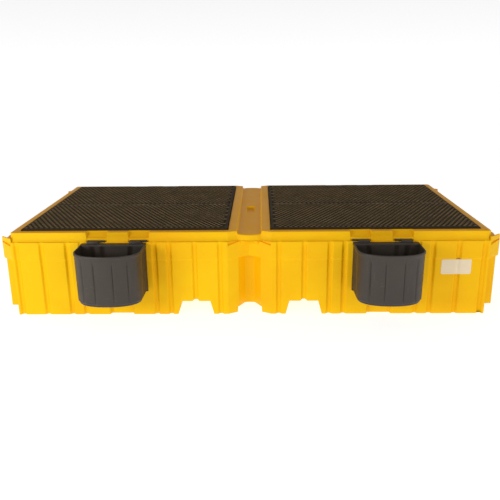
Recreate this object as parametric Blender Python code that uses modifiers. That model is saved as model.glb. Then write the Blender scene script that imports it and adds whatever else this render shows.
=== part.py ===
"""Twin-bay spill containment pallet with lift-out decks, deck columns and two hanging bucket shelves.

Units are metres, +Z is up, +X runs along the pallet and -Y is the side that carries the shelves.
The origin is the centre of the sump's underside, where it stands on the floor.
"""

import math

import bmesh
import bpy
from mathutils import Matrix

# Overall sump
LENGTH = 3.175
WIDTH = 1.575
WALL = 0.009
FLOOR = 0.010
END_STEP = 0.014  # the lower end walls stand this far inside the belt
FACE_STEP = 0.004  # the lower front and back walls stand this far inside the belt
CORNER = (0.0775, 0.0655)  # how far each upright corner is cut back along X and along Y
STEP_BACK = (0.0745, 0.0605)  # below the belt the corner's step, from the end and from the front

# Levels
BELT_Z = 0.372
LEDGE_Z = 0.492
BEAD_Z = 0.520
RIM_Z = 0.550
DECK_Z = 0.5588
CHANNEL_Z = 0.530
FAR_Y = 0.800  # past the walls, where a cutter ends

# Upright grooves, each a trapezium in plan
BAY_X = 0.833
GROOVES_FROM_BAY = (0.231, 0.323, 0.485, 0.646)
GROOVES_ON_END = (0.160, 0.320, 0.480, 0.640)
GROOVE_MOUTH = 0.018
GROOVE_BED = 0.007
GROOVE_DEPTH = 0.022
PANEL_HALF = 0.078  # the sunk panel behind each shelf
PANEL_SLOPE = 0.008
PANEL_DEPTH = 0.025

# Rim and centre channel
RIM_X = 1.516
RIM_Y = 0.765
RIM_CORNER = (0.016, 0.013)
COVE_SPREAD = (1.008, 1.0155)
CHANNEL_HALF = 0.074
CHANNEL_TOP_HALF = 0.080
CHANNEL_WALL_X = 0.088
OPENING_X = (0.136, 1.467)
OPENING_Y = 0.716
PAN_HALF_X = 0.027
PAN_Y = (-0.149, 0.045)
PAN_DEPTH = 0.017

# Centre notch, front and back
NOTCH_MOUTH = 0.139
NOTCH_V_DEPTH = 0.0725
NOTCH_LIFT = 0.038
CORNER_LIFT = 0.045
CORNER_LIFT_FROM = (0.0715, 0.2300)  # where the lift starts, from the end and from the front
LIFT_HALF_X = 0.078
LIFT_Y = (0.545, 0.795)
EAR_LIP = (0.0008, 0.0098)  # the raised lip on a cut corner, from its edge inwards
EAR_LIP_Z = 0.517

# Fork tunnels
TUNNEL_X = 0.349
TUNNEL_FOOT_HALF = 0.117
TUNNEL_TOP_HALF = 0.093
TUNNEL_Z = 0.090
ARCH_HALF = 0.019
ARCH_RISE = 0.009
ARCH_LENGTH = 0.030

# Scoops in the rim, and the slots that the shelves' hooks drop into
HOOK_X = 0.133  # each side of a bay's middle
SCOOP_HALF = 0.066
SCOOP_FOOT_Z = 0.512
SLOT_HALF = 0.063
SLOT_Y = (0.766, 0.780)
SLOT_FLOOR_Z = 0.458
SLOT_STEP_Z = 0.490
POCKET_HALF = 0.074
POCKET_Y = (0.745, 0.790)
POCKET_Z = (0.446, 0.600)

# Deck panels, two to each bay
PANEL = (1.323, 0.710, 0.038)
SEAM_GAP = 0.003
PANEL_SKIN = 0.012
PANEL_RIB = 0.014
PANEL_CELLS = (4, 2)
DRAIN_SLOT = (0.062, 0.012)
DRAINS_PER_CELL = (2, 1)

# Deck columns
COLUMN_X = (-0.484, 0.0, 0.484)
COLUMN_Y = (-0.640, -0.356, 0.0, 0.356, 0.640)
COLUMN_SIDES = 10
COLUMN_HEAD_R = 0.074
COLUMN_FOOT_R = 0.080
COLUMN_NECK_R = 0.055
COLUMN_SKIN = 0.006
BOSS_R = 0.054
BOSS_RISE = 0.012

# Bucket shelf, modelled about the middle of its own back and hung at a bay's middle
SHELF_HALF = 0.2055
SHELF_OUTBOARD = 0.020  # the tub stands this far outboard of the middle of its hooks
SHELF_BACK_Y = -0.792
SHELF_STRAIGHT = 0.165
SHELF_BOW = 0.138
SHELF_Z = (0.168, 0.488)
SHELF_FLOOR = 0.006
SHELF_WALL = 0.005
SHELF_RIM = 0.004
SHELF_RAIL = 0.050
HOOK_HEAD_HALF = 0.055
HOOK_NECK = 0.074
HOOK_TOP_Z = 0.502
HOOK_LIP_Z = 0.466
BUMPER_X = 0.140
BUMPER_HALF = 0.030
BUMPER_Z = (0.012, 0.060)  # above the tub's foot

LABEL_X = (1.213, 1.402)
LABEL_Z = (0.270, 0.368)
LABEL_THICK = 0.0012
LABEL_FOLD = 0.005

GAP = 0.0003

XY = Matrix.Identity(4)
XZ = Matrix(((1, 0, 0, 0), (0, 0, -1, 0), (0, 1, 0, 0), (0, 0, 0, 1)))
YZ = Matrix(((0, 0, 1, 0), (1, 0, 0, 0), (0, 1, 0, 0), (0, 0, 0, 1)))


# ---------------------------------------------------------------- tools


def clear_scene():
    for obj in list(bpy.data.objects):
        bpy.data.objects.remove(obj)


def collection(name):
    found = bpy.data.collections.new(name)
    bpy.context.scene.collection.children.link(found)
    return found


def material(name, colour, roughness, metallic=0.0):
    made = bpy.data.materials.new(name)
    made.use_nodes = True
    shader = made.node_tree.nodes["Principled BSDF"]
    shader.inputs["Base Color"].default_value = (*colour, 1.0)
    shader.inputs["Roughness"].default_value = roughness
    shader.inputs["Metallic"].default_value = metallic
    return made


def place(name, mesh, where, look=None):
    """A mesh object in a collection; a cutter is hidden from renders."""
    obj = bpy.data.objects.new(name, mesh)
    where.objects.link(obj)
    if where is CUTTERS:
        obj.hide_render = True
        obj.display_type = "WIRE"
    if look:
        mesh.materials.clear()
        mesh.materials.append(look)
    return obj


def evaluated_mesh(obj):
    """The object's shape with its modifiers, as a new welded mesh that faces out."""
    bpy.context.view_layer.update()
    graph = bpy.context.evaluated_depsgraph_get()
    mesh = bpy.data.meshes.new_from_object(obj.evaluated_get(graph))
    shape = bmesh.new()
    shape.from_mesh(mesh)
    bmesh.ops.remove_doubles(shape, verts=shape.verts, dist=1e-6)
    bmesh.ops.recalc_face_normals(shape, faces=shape.faces)
    shape.to_mesh(mesh)
    shape.free()
    return mesh


def one_face_caps(mesh):
    """Each end of an extruded outline made a single face, with no slivers between points in line."""
    shape = bmesh.new()
    shape.from_mesh(mesh)
    for end in (min, max):
        level = end(vertex.co.z for vertex in shape.verts)
        cap = [f for f in shape.faces if all(abs(v.co.z - level) < 1e-5 for v in f.verts)]
        bmesh.ops.dissolve_faces(shape, faces=cap)
    bmesh.ops.recalc_face_normals(shape, faces=shape.faces)
    shape.to_mesh(mesh)
    shape.free()


def slab(name, outline, low, high, plane=XY):
    """A flat outline given thickness from low to high across its plane, as a mesh in the cutters."""
    curve = bpy.data.curves.new(name, "CURVE")
    curve.dimensions = "2D"
    curve.fill_mode = "BOTH"
    curve.extrude = (high - low) / 2
    spline = curve.splines.new("POLY")
    spline.points.add(len(outline) - 1)
    for point, (u, v) in zip(spline.points, outline):
        point.co = (u, v, 0, 1)
    spline.use_cyclic_u = True
    source = bpy.data.objects.new(name, curve)
    CUTTERS.objects.link(source)
    mesh = evaluated_mesh(source)
    bpy.data.objects.remove(source)
    one_face_caps(mesh)
    mesh.transform(plane @ Matrix.Translation((0, 0, (high + low) / 2)))
    return place(name, mesh, CUTTERS)


def boxes(name, corners):
    """One cutter of several boxes, each given by its lowest and highest corners."""
    mesh = bpy.data.meshes.new(name)
    shape = bmesh.new()
    for low, high in corners:
        middle = [(a + b) / 2 for a, b in zip(low, high)]
        sides = [b - a for a, b in zip(low, high)]
        bmesh.ops.create_cube(shape, size=1, matrix=Matrix.LocRotScale(middle, None, sides))
    shape.to_mesh(mesh)
    shape.free()
    return place(name, mesh, CUTTERS)


def boolean(obj, other, operation):
    modifier = obj.modifiers.new(other.name, "BOOLEAN")
    modifier.operation = operation
    modifier.solver = "EXACT"
    modifier.object = other


def cut(obj, *others):
    for other in others:
        boolean(obj, other, "DIFFERENCE")


def join(obj, *others):
    for other in others:
        boolean(obj, other, "UNION")


def four_ways(quarter):
    """A closed outline from the quarter that runs from the -Y middle to the +X middle."""
    right = quarter + [(x, -y) for x, y in reversed(quarter) if y]
    return right + [(-x, y) for x, y in reversed(right) if x]


def inset(outline, distance):
    """The anticlockwise outline moved inwards by a distance, with mitred corners."""
    moved = []
    count = len(outline)
    for i, (x, y) in enumerate(outline):
        before, after = outline[i - 1], outline[(i + 1) % count]
        ax, ay = x - before[0], y - before[1]
        bx, by = after[0] - x, after[1] - y
        a, b = math.hypot(ax, ay), math.hypot(bx, by)
        nx, ny = -ay / a - by / b, ax / a + bx / b
        length = math.hypot(nx, ny)
        reach = distance * 2 / length**2
        moved.append((x + nx * reach, y + ny * reach))
    return moved


# ---------------------------------------------------------------- sump


def groove_x():
    """Where the front's grooves lie, from the centre out, on the +X side."""
    near = [BAY_X - step for step in reversed(GROOVES_FROM_BAY)]
    far = [BAY_X + step for step in GROOVES_FROM_BAY]
    return near, far


def grooves_along_front(centres, face_y):
    points = []
    for x in centres:
        points += [
            (x - GROOVE_MOUTH, -face_y),
            (x - GROOVE_BED, GROOVE_DEPTH - face_y),
            (x + GROOVE_BED, GROOVE_DEPTH - face_y),
            (x + GROOVE_MOUTH, -face_y),
        ]
    return points


def grooves_up_end(face_x):
    points = []
    for y in sorted(-y for y in GROOVES_ON_END):
        points += [
            (face_x, y - GROOVE_MOUTH),
            (face_x - GROOVE_DEPTH, y - GROOVE_BED),
            (face_x - GROOVE_DEPTH, y + GROOVE_BED),
            (face_x, y + GROOVE_MOUTH),
        ]
    return points


def wall_quarter(notch, corner, face_x, face_y, sunk_panel):
    """A quarter of the wall's plan: notch, grooved front, corner and grooved end."""
    near, far = groove_x()
    panel = []
    if sunk_panel:
        bed = PANEL_DEPTH - face_y
        panel = [
            (BAY_X - PANEL_HALF, -face_y),
            (BAY_X - PANEL_HALF + PANEL_SLOPE, bed),
            (BAY_X + PANEL_HALF - PANEL_SLOPE, bed),
            (BAY_X + PANEL_HALF, -face_y),
        ]
    front = grooves_along_front(near, face_y) + panel + grooves_along_front(far, face_y)
    return notch + front + corner + grooves_up_end(face_x)


def lower_outline():
    """The walls below the belt: a deep notch in the middle and corners that step back."""
    face_x, face_y = LENGTH / 2 - END_STEP, WIDTH / 2 - FACE_STEP
    notch = [(0, -0.668), (0.031, -0.672), (0.070, -0.745), (NOTCH_MOUTH, -face_y)]
    step_x = LENGTH / 2 - STEP_BACK[0]
    corner = [
        (step_x, -face_y),
        (step_x, STEP_BACK[1] - WIDTH / 2),
        (face_x, CORNER[1] - WIDTH / 2),
    ]
    return four_ways(wall_quarter(notch, corner, face_x, face_y, True))


def ear_edge():
    """The two ends of a cut corner's edge, at +X and -Y."""
    return (LENGTH / 2 - CORNER[0], -WIDTH / 2), (LENGTH / 2, CORNER[1] - WIDTH / 2)


def belt_outline():
    face_y = WIDTH / 2
    notch = [(0, NOTCH_V_DEPTH - face_y), (NOTCH_MOUTH, -face_y)]
    return four_ways(wall_quarter(notch, list(ear_edge()), LENGTH / 2, face_y, False))


def ear_lips():
    """The raised lip along each cut corner, at the level of the ledge, as four meshes."""
    (ax, ay), (bx, by) = ear_edge()
    length = math.hypot(bx - ax, by - ay)
    nx, ny = (ay - by) / length, (bx - ax) / length
    outer, inner = EAR_LIP
    lip = [
        (ax + outer * nx, ay + outer * ny),
        (bx + outer * nx, by + outer * ny),
        (bx + inner * nx, by + inner * ny),
        (ax + inner * nx, ay + inner * ny),
    ]
    made = []
    for i, (sx, sy) in enumerate(((1, 1), (1, -1), (-1, 1), (-1, -1))):
        outline = [(sx * x, sy * y) for x, y in lip]
        made.append(slab(f"ear_lip_{i}", outline, LEDGE_Z - 0.004, EAR_LIP_Z))
    return made


def rim_outline():
    quarter = [
        (0.070, -0.735),
        (OPENING_X[0], -RIM_Y),
        (RIM_X - RIM_CORNER[0], -RIM_Y),
        (RIM_X, RIM_CORNER[1] - RIM_Y),
    ]
    return four_ways(quarter)


def cove():
    """The slope from the ledge up to the bead: the rim's outline, spread at its foot."""
    made = slab("cove", rim_outline(), LEDGE_Z - 0.002, BEAD_Z)
    for vertex in made.data.vertices:
        if vertex.co.z < (LEDGE_Z + BEAD_Z) / 2:
            vertex.co.x *= COVE_SPREAD[0]
            vertex.co.y *= COVE_SPREAD[1]
    return made


def spout(side):
    """The channel's bowed lip over the notch, at the front (-1) or the back (1)."""
    half = CHANNEL_HALF - 0.001
    bow = [(half, 0.742), (0.050, 0.758), (0.025, 0.765), (0, 0.768)]
    plan = [(-half, 0.700)] + [(-x, y) for x, y in bow]
    plan += [(x, y) for x, y in reversed(bow[:-1])] + [(half, 0.700)]
    outline = [(x, side * y) for x, y in plan]
    return slab(f"spout_{side}", outline, LEDGE_Z - 0.004, CHANNEL_Z + 0.006)


def tunnel_outline(extra=0.0):
    foot, top, height = TUNNEL_FOOT_HALF + extra, TUNNEL_TOP_HALF + extra, TUNNEL_Z + extra
    return [(-foot, -0.02), (-foot, 0), (-top, height), (top, height), (foot, 0), (foot, -0.02)]


def shifted(outline, along):
    return [(u + along, v) for u, v in outline]


def both_sides(make, name, *positions):
    """The same cutter at each position and at its mirror in X."""
    along = [s * p for p in positions for s in (-1, 1)]
    return [make(f"{name}_{i}", x) for i, x in enumerate(along)]


def hook_centres():
    return (BAY_X - HOOK_X, BAY_X + HOOK_X)


def upper_cavity(side):
    """The space under the rim on one side of the channel."""
    far_x, far_y = RIM_X - WALL - 0.001, RIM_Y - WALL - 0.001
    plan = [
        (CHANNEL_WALL_X, 0.730),
        (OPENING_X[0] + 0.004, far_y),
        (far_x - RIM_CORNER[0] + 0.004, far_y),
        (far_x, far_y - RIM_CORNER[1] + 0.004),
    ]
    plan += [(x, -y) for x, y in reversed(plan)]
    outline = [(side * x, y) for x, y in plan]
    return slab(f"under_rim_{side}", outline, LEDGE_Z - 0.022, RIM_Z - WALL)


def corner_block(name, reach, height):
    """The four upright corners' feet, to be cut away or kept clear of."""
    near_x = LENGTH / 2 - CORNER_LIFT_FROM[0] - reach
    near_y = WIDTH / 2 - CORNER_LIFT_FROM[1] - reach
    far_x = LENGTH / 2 + 0.0125
    corners = []
    for sx in (-1, 1):
        for sy in (-1, 1):
            xs = sorted((sx * near_x, sx * far_x))
            ys = sorted((sy * near_y, sy * FAR_Y))
            corners.append(((xs[0], ys[0], -0.02), (xs[1], ys[1], height)))
    return boxes(name, corners)


def front_and_back(half_x, near_y, far_y, low, high):
    """Two boxes across the middle, one at the front and one at the back."""
    front = ((-half_x, -far_y, low), (half_x, -near_y, high))
    back = ((-half_x, near_y, low), (half_x, far_y, high))
    return [front, back]


def hook_pockets():
    """The moulded blocks inside the wall that the hooks' slots are sunk in."""
    corners = []
    for x in hook_centres():
        for middle in (-x, x):
            for low_y, high_y in (POCKET_Y, (-POCKET_Y[1], -POCKET_Y[0])):
                low = (middle - POCKET_HALF, low_y, POCKET_Z[0])
                high = (middle + POCKET_HALF, high_y, POCKET_Z[1])
                corners.append((low, high))
    return boxes("hook_pockets", corners)


def cavity():
    """Everything that the sump's walls, floor, tunnels and hook pockets enclose."""
    made = slab("cavity", inset(lower_outline(), WALL), FLOOR, LEDGE_Z - 0.012)
    channel_low = (-0.100, -0.700, BELT_Z + 0.018)
    channel_high = (0.100, 0.700, CHANNEL_Z - FLOOR)
    join(made, upper_cavity(1), upper_cavity(-1))
    join(made, boxes("under_channel", [(channel_low, channel_high)]))

    def hump(name, x):
        return slab(name, shifted(tunnel_outline(FLOOR), x), -0.790, 0.790, XZ)

    cut(made, *both_sides(hump, "hump", TUNNEL_X))
    pan_half = PAN_HALF_X + FLOOR
    pan_low = (-pan_half, PAN_Y[0] - FLOOR, CHANNEL_Z - PAN_DEPTH - FLOOR)
    pan_high = (pan_half, PAN_Y[1] + FLOOR, RIM_Z + FLOOR)
    feet = front_and_back(LIFT_HALF_X + 0.014, LIFT_Y[0] - FLOOR, FAR_Y, -0.010, NOTCH_LIFT + FLOOR)
    cut(made, hook_pockets(), boxes("under_pan", [(pan_low, pan_high)]), boxes("notch_feet", feet))
    cut(made, corner_block("corner_foot", 0.016, CORNER_LIFT + FLOOR), bosses())
    return made


def bosses():
    """Low discs that the columns' feet stand over, one piece as a cutter for the cavity."""
    mesh = bpy.data.meshes.new("bosses")
    shape = bmesh.new()
    for x, y, foot_z in column_places():
        bmesh.ops.create_cone(
            shape,
            cap_ends=True,
            segments=6,
            radius1=BOSS_R,
            radius2=BOSS_R - 0.004,
            depth=2 * BOSS_RISE,
            matrix=Matrix.Translation((x, y, foot_z)),
        )
    shape.to_mesh(mesh)
    shape.free()
    return place("bosses", mesh, CUTTERS)


def scoop(name, x, side):
    """A ramp from the deck's edge down over the rim, at one hook."""
    foot, above = SCOOP_FOOT_Z - 0.002, RIM_Z + 0.020
    profile = [
        (OPENING_Y - 0.004, RIM_Z + 0.003),
        (RIM_Y + 0.003, foot),
        (FAR_Y + 0.010, foot),
        (FAR_Y + 0.010, above),
        (OPENING_Y - 0.004, above),
    ]
    return slab(name, [(side * y, z) for y, z in profile], x - SCOOP_HALF, x + SCOOP_HALF, YZ)


def slot(name, x, side):
    """The slot for one hook: a step in the cove, and a deeper groove for the hook's lip."""
    profile = [
        (SLOT_Y[0], SLOT_FLOOR_Z),
        (SLOT_Y[1], SLOT_FLOOR_Z),
        (SLOT_Y[1], SLOT_STEP_Z),
        (FAR_Y, SLOT_STEP_Z),
        (FAR_Y, SCOOP_FOOT_Z + 0.004),
        (SLOT_Y[0], SCOOP_FOOT_Z + 0.004),
    ]
    return slab(name, [(side * y, z) for y, z in profile], x - SLOT_HALF, x + SLOT_HALF, YZ)


def arches():
    """The short raised arch in the middle of each tunnel's mouth, front and back."""
    corners = []
    for middle in (-TUNNEL_X, TUNNEL_X):
        for wall_y in (-0.790, 0.790):
            low = (middle - ARCH_HALF, wall_y - ARCH_LENGTH, TUNNEL_Z - 0.040)
            high = (middle + ARCH_HALF, wall_y + ARCH_LENGTH, TUNNEL_Z + ARCH_RISE)
            corners.append((low, high))
    return boxes("arches", corners)


def deck_openings():
    """The two wide openings that the decks close."""
    near, far = OPENING_X
    corners = []
    for low, high in ((near, far), (-far, -near)):
        corners.append(((low, -OPENING_Y, 0.500), (high, OPENING_Y, 0.600)))
    return boxes("deck_openings", corners)


def trough():
    """The centre channel, from front to back, with sides that lean out to the rim."""
    above = RIM_Z + 0.010
    half = [(CHANNEL_HALF, CHANNEL_Z), (CHANNEL_TOP_HALF, RIM_Z), (CHANNEL_TOP_HALF + 0.002, above)]
    outline = half + [(-x, z) for x, z in reversed(half)]
    return slab("trough", outline, -FAR_Y, FAR_Y, XZ)


def make_sump(look):
    sump = place("sump", slab("wall", lower_outline(), 0, BELT_Z + 0.004).data, PARTS, look)
    belt = slab("belt", belt_outline(), BELT_Z, LEDGE_Z)
    rim = slab("rim", rim_outline(), BEAD_Z - 0.001, RIM_Z)
    join(sump, belt, cove(), rim, spout(-1), spout(1), *ear_lips())
    cut(sump, cavity())

    def tunnel(name, x):
        return slab(name, shifted(tunnel_outline(), x), -0.820, 0.820, XZ)

    cut(sump, *both_sides(tunnel, "tunnel", TUNNEL_X))
    cut(sump, arches(), deck_openings(), trough())
    pan_low = (-PAN_HALF_X, PAN_Y[0], CHANNEL_Z - PAN_DEPTH)
    pan_high = (PAN_HALF_X, PAN_Y[1], CHANNEL_Z + 0.015)
    lifts = front_and_back(LIFT_HALF_X, *LIFT_Y, -0.010, NOTCH_LIFT)
    cut(sump, boxes("pan", [(pan_low, pan_high)]), boxes("notch_lift", lifts))
    cut(sump, corner_block("corner_lift", 0.0, CORNER_LIFT))
    for side in (-1, 1):
        for i, x in enumerate([s * x for x in hook_centres() for s in (-1, 1)]):
            cut(sump, scoop(f"scoop_{side}_{i}", x, side), slot(f"slot_{side}_{i}", x, side))
    return sump


# ---------------------------------------------------------------- decks and columns


def panel_mesh():
    """A deck panel about its own centre: a skin over deep ribs, with drain slots through the skin."""
    long, deep, thick = PANEL
    base = boxes("panel_blank", [((-long / 2, -deep / 2, -thick), (long / 2, deep / 2, 0))])
    across, along = PANEL_CELLS
    cell = (long - (across + 1) * PANEL_RIB) / across, (deep - (along + 1) * PANEL_RIB) / along
    cells, drains = [], []
    for i in range(across):
        for j in range(along):
            x = -long / 2 + PANEL_RIB + i * (cell[0] + PANEL_RIB)
            y = -deep / 2 + PANEL_RIB + j * (cell[1] + PANEL_RIB)
            cells.append(((x, y, -thick - 0.01), (x + cell[0], y + cell[1], -PANEL_SKIN)))
            for k in range(DRAINS_PER_CELL[0]):
                for m in range(DRAINS_PER_CELL[1]):
                    u = x + cell[0] * (k + 0.5) / DRAINS_PER_CELL[0]
                    v = y + cell[1] * (m + 0.5) / DRAINS_PER_CELL[1]
                    half = DRAIN_SLOT[0] / 2, DRAIN_SLOT[1] / 2
                    drains.append(((u - half[0], v - half[1], -0.02), (u + half[0], v + half[1], 0.01)))
    cut(base, boxes("panel_cells", cells), boxes("panel_drains", drains))
    return evaluated_mesh(base)


def make_decks(look):
    mesh = panel_mesh()
    middle = (OPENING_X[0] + OPENING_X[1]) / 2
    for side, sx in (("left", -1), ("right", 1)):
        for end, sy in (("front", -1), ("back", 1)):
            deck = place(f"deck_{side}_{end}", mesh, PARTS, look)
            deck.location = (sx * middle, sy * (SEAM_GAP + PANEL[1]) / 2, DECK_Z)


def column_places():
    """Each column's X, Y and the height of the floor under it; the tunnels' humps carry some."""
    places = []
    for side in (-1, 1):
        for offset in COLUMN_X:
            on_hump = offset < 0
            foot_z = TUNNEL_Z + FLOOR if on_hump else FLOOR
            for y in COLUMN_Y:
                places.append((side * (BAY_X + offset), y, foot_z))
    return places


def column_mesh(height):
    """A hollow moulded column, open at its foot, as a turned profile."""
    outer = [
        (0, height),
        (COLUMN_HEAD_R, height),
        (COLUMN_HEAD_R, height - 0.012),
        (COLUMN_NECK_R, height - 0.034),
        (COLUMN_FOOT_R, 0),
    ]
    inner = [
        (COLUMN_FOOT_R - COLUMN_SKIN, 0),
        (COLUMN_NECK_R - COLUMN_SKIN, height - 0.012),
        (0, height - 0.012),
    ]
    profile = outer + inner
    mesh = bpy.data.meshes.new("column_profile")
    shape = bmesh.new()
    points = [shape.verts.new((r, 0, z)) for r, z in profile]
    for a, b in zip(points, points[1:]):
        shape.edges.new((a, b))
    shape.to_mesh(mesh)
    shape.free()
    turned = place("column_turned", mesh, CUTTERS)
    screw = turned.modifiers.new("turn", "SCREW")
    screw.steps = COLUMN_SIDES
    screw.render_steps = COLUMN_SIDES
    screw.use_merge_vertices = True
    screw.merge_threshold = 0.0001
    made = evaluated_mesh(turned)
    bpy.data.objects.remove(turned)
    made.shade_smooth()
    made.set_sharp_from_angle(angle=math.radians(35))
    return made


def make_columns(look):
    underside = DECK_Z - PANEL[2] - GAP
    meshes = {}
    for number, (x, y, foot_z) in enumerate(column_places(), 1):
        low = foot_z + GAP
        if foot_z not in meshes:
            meshes[foot_z] = column_mesh(underside - low)
        column = place(f"deck_column_{number:02d}", meshes[foot_z], PARTS, look)
        column.location = (x, y, low)


# ---------------------------------------------------------------- bucket shelves


def shelf_outline(less=0.0, back=0.0, steps=8):
    """The shelf's plan: a straight back and sides, and a bowed front; less shrinks it."""
    half = SHELF_HALF - less
    turn_y = SHELF_BACK_Y - SHELF_STRAIGHT
    bow = SHELF_BOW - less
    plan = [(-half, SHELF_BACK_Y - back)]
    for i in range(2 * steps + 1):
        angle = math.pi * i / (2 * steps)
        x, y = -math.cos(angle), math.sin(angle)
        plan.append((half * math.copysign(abs(x) ** 0.9, x), turn_y - bow * y**0.9))
    plan.append((half, SHELF_BACK_Y - back))
    return plan


def hook(name, x, hand):
    """One hook: a head that turns down into its slot, and a neck at the head's outboard end."""
    ledge = SLOT_STEP_Z + GAP
    front, behind, over = -0.790, -0.770, -0.778
    head = [
        (behind, HOOK_LIP_Z),
        (behind, HOOK_TOP_Z),
        (front, HOOK_TOP_Z),
        (front, ledge),
        (over, ledge),
        (over, HOOK_LIP_Z),
    ]
    foot_z = SHELF_Z[1] - 0.012
    neck = [
        (front + 0.006, ledge),
        (front + 0.006, HOOK_TOP_Z),
        (front - 0.018, HOOK_TOP_Z),
        (front - 0.018, foot_z),
        (front - 0.006, foot_z),
        (front - 0.006, ledge),
    ]
    made = slab(name, head, x - HOOK_HEAD_HALF, x + HOOK_HEAD_HALF, YZ)
    ends = sorted((x + hand * HOOK_HEAD_HALF, x + hand * (HOOK_HEAD_HALF - HOOK_NECK)))
    join(made, slab(f"{name}_neck", neck, *ends, YZ))
    return made


def shelf_mesh(hand):
    """A bucket shelf about the middle of its tub, for the left bay (-1) or the right one (1).

    It has a tub, a double back with a rail on top, a rim bead, two hooks and two bumpers.
    """
    low, high = SHELF_Z
    tub = slab("shelf_tub", shelf_outline(SHELF_RIM), low, high)
    join(tub, slab("shelf_bead", shelf_outline(), high - 0.016, high))
    well = shelf_outline(SHELF_RIM + SHELF_WALL, SHELF_RAIL)
    cut(tub, slab("shelf_well", well, low + SHELF_FLOOR, high + 0.05))
    inside = SHELF_HALF - SHELF_RIM - SHELF_WALL
    hollow_low = (-inside, SHELF_BACK_Y - SHELF_RAIL + SHELF_WALL, low - 0.010)
    hollow_high = (inside, SHELF_BACK_Y - SHELF_WALL, high - 0.008)
    cut(tub, boxes("shelf_back_hollow", [(hollow_low, hollow_high)]))
    for i, x in enumerate((-HOOK_X, HOOK_X)):
        join(tub, hook(f"hook_{i}", x - hand * SHELF_OUTBOARD, hand))
    wall_y = WIDTH / 2 - FACE_STEP + GAP
    pads = []
    for x in (-BUMPER_X, BUMPER_X):
        pad_low = (x - BUMPER_HALF, SHELF_BACK_Y - 0.003, low + BUMPER_Z[0])
        pads.append((pad_low, (x + BUMPER_HALF, -wall_y, low + BUMPER_Z[1])))
    join(tub, boxes("bumpers", pads))
    return evaluated_mesh(tub)


def make_shelves(look):
    for name, hand in (("bucket_shelf_left", -1), ("bucket_shelf_right", 1)):
        shelf = place(name, shelf_mesh(hand), PARTS, look)
        shelf.location.x = hand * (BAY_X + SHELF_OUTBOARD)


# ---------------------------------------------------------------- label


def make_label(look):
    """A blank sticker that bridges one groove of the front wall and folds a little into it."""
    face = FACE_STEP - WIDTH / 2 - GAP
    groove = groove_x()[1][2]
    left, right = LABEL_X
    back = [
        (left, face),
        (groove - GROOVE_MOUTH, face),
        (groove, face + LABEL_FOLD),
        (groove + GROOVE_MOUTH, face),
        (right, face),
    ]
    front = [(x, y - LABEL_THICK) for x, y in reversed(back)]
    place("label", slab("label_blank", back + front, *LABEL_Z).data, PARTS, look)


clear_scene()
PARTS = collection("spill_pallet")
CUTTERS = collection("cutters")
make_sump(material("yellow_polyethylene", (0.95, 0.55, 0.01), 0.42))
make_decks(material("dark_deck", (0.045, 0.032, 0.020), 0.55))
make_columns(material("grey_column", (0.16, 0.15, 0.14), 0.55))
make_shelves(material("dark_shelf", (0.060, 0.048, 0.038), 0.45))
make_label(material("cream_label", (0.80, 0.72, 0.55), 0.60))
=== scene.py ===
"""Finished look of the twin-bay spill containment pallet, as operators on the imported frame."""

import math

import bmesh
import bpy
import numpy as np
from bpy.props import FloatProperty, FloatVectorProperty, IntProperty, PointerProperty
from mathutils import Matrix, Vector


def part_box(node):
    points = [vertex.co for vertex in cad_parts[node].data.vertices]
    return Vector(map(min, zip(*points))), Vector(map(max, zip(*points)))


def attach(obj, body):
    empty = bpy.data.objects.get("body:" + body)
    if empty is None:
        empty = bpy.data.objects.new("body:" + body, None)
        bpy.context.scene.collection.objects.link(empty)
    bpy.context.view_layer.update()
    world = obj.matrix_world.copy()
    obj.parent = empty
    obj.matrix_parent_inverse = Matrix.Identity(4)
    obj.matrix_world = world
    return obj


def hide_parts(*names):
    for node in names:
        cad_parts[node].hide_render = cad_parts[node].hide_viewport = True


bl_info = {
    "name": "Spill pallet finish",
    "version": (1, 0, 0),
    "blender": (4, 5, 0),
    "location": "View3D > Sidebar > Spill Pallet",
    "description": "Builds the moulded sump, tread decks, columns, bucket shelves and studio",
    "category": "Object",
}

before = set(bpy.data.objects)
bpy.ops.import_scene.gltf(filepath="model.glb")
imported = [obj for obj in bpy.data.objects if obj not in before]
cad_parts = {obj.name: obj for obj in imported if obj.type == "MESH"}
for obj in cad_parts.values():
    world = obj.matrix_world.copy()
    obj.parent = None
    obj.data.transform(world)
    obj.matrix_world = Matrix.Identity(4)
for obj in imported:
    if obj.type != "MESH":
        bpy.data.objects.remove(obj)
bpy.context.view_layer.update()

SUMP_LOW, SUMP_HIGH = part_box("sump")
HALF_LENGTH = SUMP_HIGH.x
HALF_WIDTH = SUMP_HIGH.y
SHELVES = ("bucket_shelf_left", "bucket_shelf_right")
DECKS = ("deck_left_front", "deck_left_back", "deck_right_front", "deck_right_back")
COLUMNS = sorted(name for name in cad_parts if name.startswith("deck_column"))


def middle_of(node):
    low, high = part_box(node)
    return (low + high) / 2


BAY_X = 0.833  # the middle of a bay, and of a shelf's two hooks


def hex_colour(code):
    """Linear red, green and blue of a six-digit screen colour."""
    parts = [int(code[i : i + 2], 16) / 255 for i in (0, 2, 4)]
    return tuple(c / 12.92 if c <= 0.04045 else ((c + 0.055) / 1.055) ** 2.4 for c in parts)


def length(name, default, description):
    return FloatProperty(
        name=name, default=default, min=0.0, unit="LENGTH", description=description
    )


def factor(name, default, description):
    return FloatProperty(
        name=name, default=default, min=0.0, max=1.0, subtype="FACTOR", description=description
    )


def colour(name, code, description):
    return FloatVectorProperty(
        name=name, default=hex_colour(code), size=3, min=0.0, max=1.0, subtype="COLOR",
        description=description,
    )


# ---------------------------------------------------------------- settings


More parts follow.
